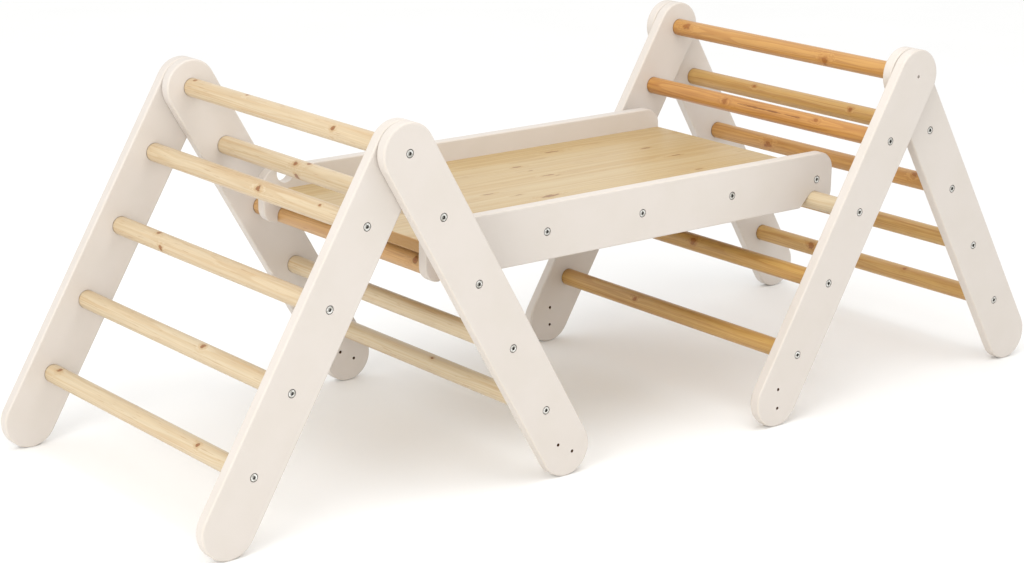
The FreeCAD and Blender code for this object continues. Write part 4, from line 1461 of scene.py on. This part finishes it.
@dataclass
class Studio:
    """A pale floor, a white room and soft lights."""

    floor_size: float = 60.0    # metres
    room: str = "#FFFFFF"
    room_strength: float = 1.0
    target: tuple[float, float, float] = (-0.1, 0.1, 0.32)  # what both softboxes face
    left_place: tuple[float, float, float] = (-3.2, -1.3, 1.5)
    left_size: float = 1.6      # metres
    left_power: float = 42.0    # watts
    top_place: tuple[float, float, float] = (0.0, -0.4, 1.5)
    top_size: float = 1.0
    top_power: float = 6.5
    front_from: tuple[float, float, float] = (-0.60, -0.75, 0.40)  # from the set to the light
    front_strength: float = 0.28    # watts on each square metre that faces it
    front_spread: float = 35.0      # degrees

    def build(self) -> None:
        """Lays the floor and hangs the lights."""
        mesh = bpy.data.meshes.new("studio_floor")
        half = self.floor_size / 2
        shell = bmesh.new()
        shell.faces.new([shell.verts.new(c) for c in (
            (-half, -half, 0), (half, -half, 0), (half, half, 0), (-half, half, 0))])
        shell.to_mesh(mesh)
        shell.free()
        mesh.materials.append(FLOOR.material())
        show("studio_floor", mesh)
        world = bpy.data.worlds.new("white_room")
        world.use_nodes = True
        sky = world.node_tree.nodes["Background"].inputs
        sky["Color"].default_value = linear(self.room)
        sky["Strength"].default_value = self.room_strength
        bpy.context.scene.world = world
        self._softbox("left_softbox", self.left_place, self.left_size, self.left_power)
        self._softbox("top_softbox", self.top_place, self.top_size, self.top_power)
        self._even_light("front_light", Vector(self.front_from), self.front_strength,
                         self.front_spread)
        view = bpy.context.scene.view_settings
        view.view_transform = "Standard"
        view.look = "None"

    def _softbox(
        self, name: str, place: tuple[float, float, float], size: float, power: float
    ) -> None:
        """Stands a softbox that faces the set.

        Args:
            name: the light's name.
            place: where it stands, metres.
            size: its side, metres.
            power: its power, watts.
        """
        lamp = bpy.data.lights.new(name, "AREA")
        lamp.shape = "SQUARE"
        lamp.size = size
        lamp.energy = power
        holder = show(name, lamp)
        holder.location = Vector(place)
        towards = Vector(place) - Vector(self.target)
        holder.rotation_euler = towards.to_track_quat("Z", "Y").to_euler()

    def _even_light(self, name: str, towards: Vector, strength: float, spread: float) -> None:
        """Hangs a broad light that is equally strong all over the set.

        Args:
            name: the light's name.
            towards: from the set to the light.
            strength: watts on each square metre that faces it.
            spread: degrees that the light covers, as seen from the set.
        """
        lamp = bpy.data.lights.new(name, "SUN")
        lamp.angle = math.radians(spread)
        lamp.energy = strength
        holder = show(name, lamp)
        holder.rotation_euler = towards.to_track_quat("Z", "Y").to_euler()


@dataclass
class Camera:
    """The camera: where it stands, which way it looks, and its lens."""

    place: tuple[float, float, float] = (-2.2835, -2.7506, 1.2100)
    looks: tuple[float, float, float] = (0.6016, 0.7505, -0.2736)
    upright: tuple[float, float, float] = (0.1625, 0.2204, 0.9618)
    sensor_mm: float = 36.0
    lens_mm: float = 83.94
    nearest: float = 0.05       # metres
    farthest: float = 200.0

    def build(self) -> None:
        """Sets the camera up and makes it the scene's camera."""
        data = bpy.data.cameras.new("camera")
        data.sensor_fit = "HORIZONTAL"
        data.sensor_width = self.sensor_mm
        data.lens = self.lens_mm
        data.clip_start = self.nearest
        data.clip_end = self.farthest
        back = -Vector(self.looks).normalized()
        right = Vector(self.upright).cross(back).normalized()
        up = back.cross(right)
        turn = Matrix((right, up, back)).transposed().to_4x4()
        camera = show("camera", data)
        camera.matrix_world = Matrix.Translation(Vector(self.place)) @ turn
        bpy.context.scene.camera = camera


# --- the two stands' timber and the bed's strips ---

LEFT_BRIDGE = (
    Cut(140.0, 34.0, 0.05, (Knot(332, 131, 4.2), Knot(306, 100, 3.6), Knot(324, 213, 4.0))),
    Cut(200.0, 40.0, 0.85, (Knot(120, 150, 5.0), Knot(520, 140, 3.0))),
    Cut(100.0, 48.0, 0.0, (Knot(420, 150, 2.6),)),
    Cut(120.0, 38.0, 0.0, (Knot(250, 120, 2.8),)),
)
LEFT_END = (
    Cut(150.0, 36.0, 0.1, (Knot(233, 156, 4.4), Knot(87, 129, 2.2))),
    Cut(130.0, 44.0, 0.12, (Knot(420, 100, 3.4), Knot(399, 189, 3.4))),
    Cut(110.0, 40.0, 0.05, (Knot(200, 113, 4.0),)),
    Cut(125.0, 37.0, 0.05, (Knot(114, 129, 3.2), Knot(506, 107, 3.6), Knot(300, 60, 2.4))),
)
RIGHT_BRIDGE = (
    Cut(150.0, 33.0, 0.95, (Knot(345, 157, 4.0), Knot(138, 140, 3.4)), Knot(235, 152, 1.0)),
    Cut(120.0, 52.0, 0.0, (Knot(420, 120, 2.4),)),
    Cut(140.0, 36.0, 0.35, (Knot(281, 153, 5.0),)),
    Cut(120.0, 42.0, 0.3, (Knot(350, 150, 3.4),)),
)
RIGHT_END = (
    Cut(130.0, 42.0, 0.3, (Knot(374, 136, 2.6), Knot(150, 150, 3.0))),
    Cut(150.0, 35.0, 0.7, (Knot(394, 174, 5.0), Knot(61, 126, 4.2))),
    Cut(110.0, 45.0, 0.25, (Knot(240, 130, 3.0),)),
    Cut(140.0, 38.0, 0.3, (Knot(399, 149, 5.2), Knot(180, 120, 2.6))),
)
STAVES = (
    Stave(14.0, 60.0, 0.35),
    Stave(-22.0, 44.0, 0.15, ((-68.0, -73.0, 6.5), (236.0, -75.0, 2.6))),
    Stave(18.0, 72.0, 0.05, ((-132.0, -11.0, 3.8), (-101.0, -41.0, 2.8))),
    Stave(-10.0, 52.0, 0.25, ((18.0, 33.0, 4.2), (29.0, 24.0, 1.8), (273.0, 20.0, 4.2))),
    Stave(26.0, 48.0, 0.1, ((12.0, 104.0, 4.2), (268.0, 87.0, 3.6), (13.0, 72.0, 2.0))),
    Stave(-16.0, 66.0, 0.4, ((124.0, 155.0, 5.0),)),
)


def main() -> None:
    """Builds the set, the studio and the camera, in order."""
    logging.basicConfig(level=logging.INFO, format="%(name)s: %(message)s")
    materials = Materials(WHITE_PAINT.material(), LIGHT_PINE.material(), WARM_PINE.material(),
                          BED_PINE.material(), ZINC.material(), NYLON.material(),
                          DRILLED.material())
    trees = Trees(timber_tree(Section.ROUND), timber_tree(Section.FLAT), screw_tree(),
                  lining_tree())
    Stand(Side.LEFT, trees, materials, LEFT_BRIDGE, LEFT_END,
          Cut(120.0, 40.0, 0.1, (Knot(362, 94, 2.8), Knot(130, 150, 3.6),
                                 Knot(500, 102, 2.8)))).build()
    SlideBoard(trees, materials, STAVES).build()
    Stand(Side.RIGHT, trees, materials, RIGHT_BRIDGE, RIGHT_END,
          Cut(150.0, 34.0, 0.75, (Knot(484, 147, 5.0), Knot(157, 190, 5.0))),
          odd_rung=2).build()
    Studio().build()
    Camera().build()


if __name__ == "__main__":
    main()
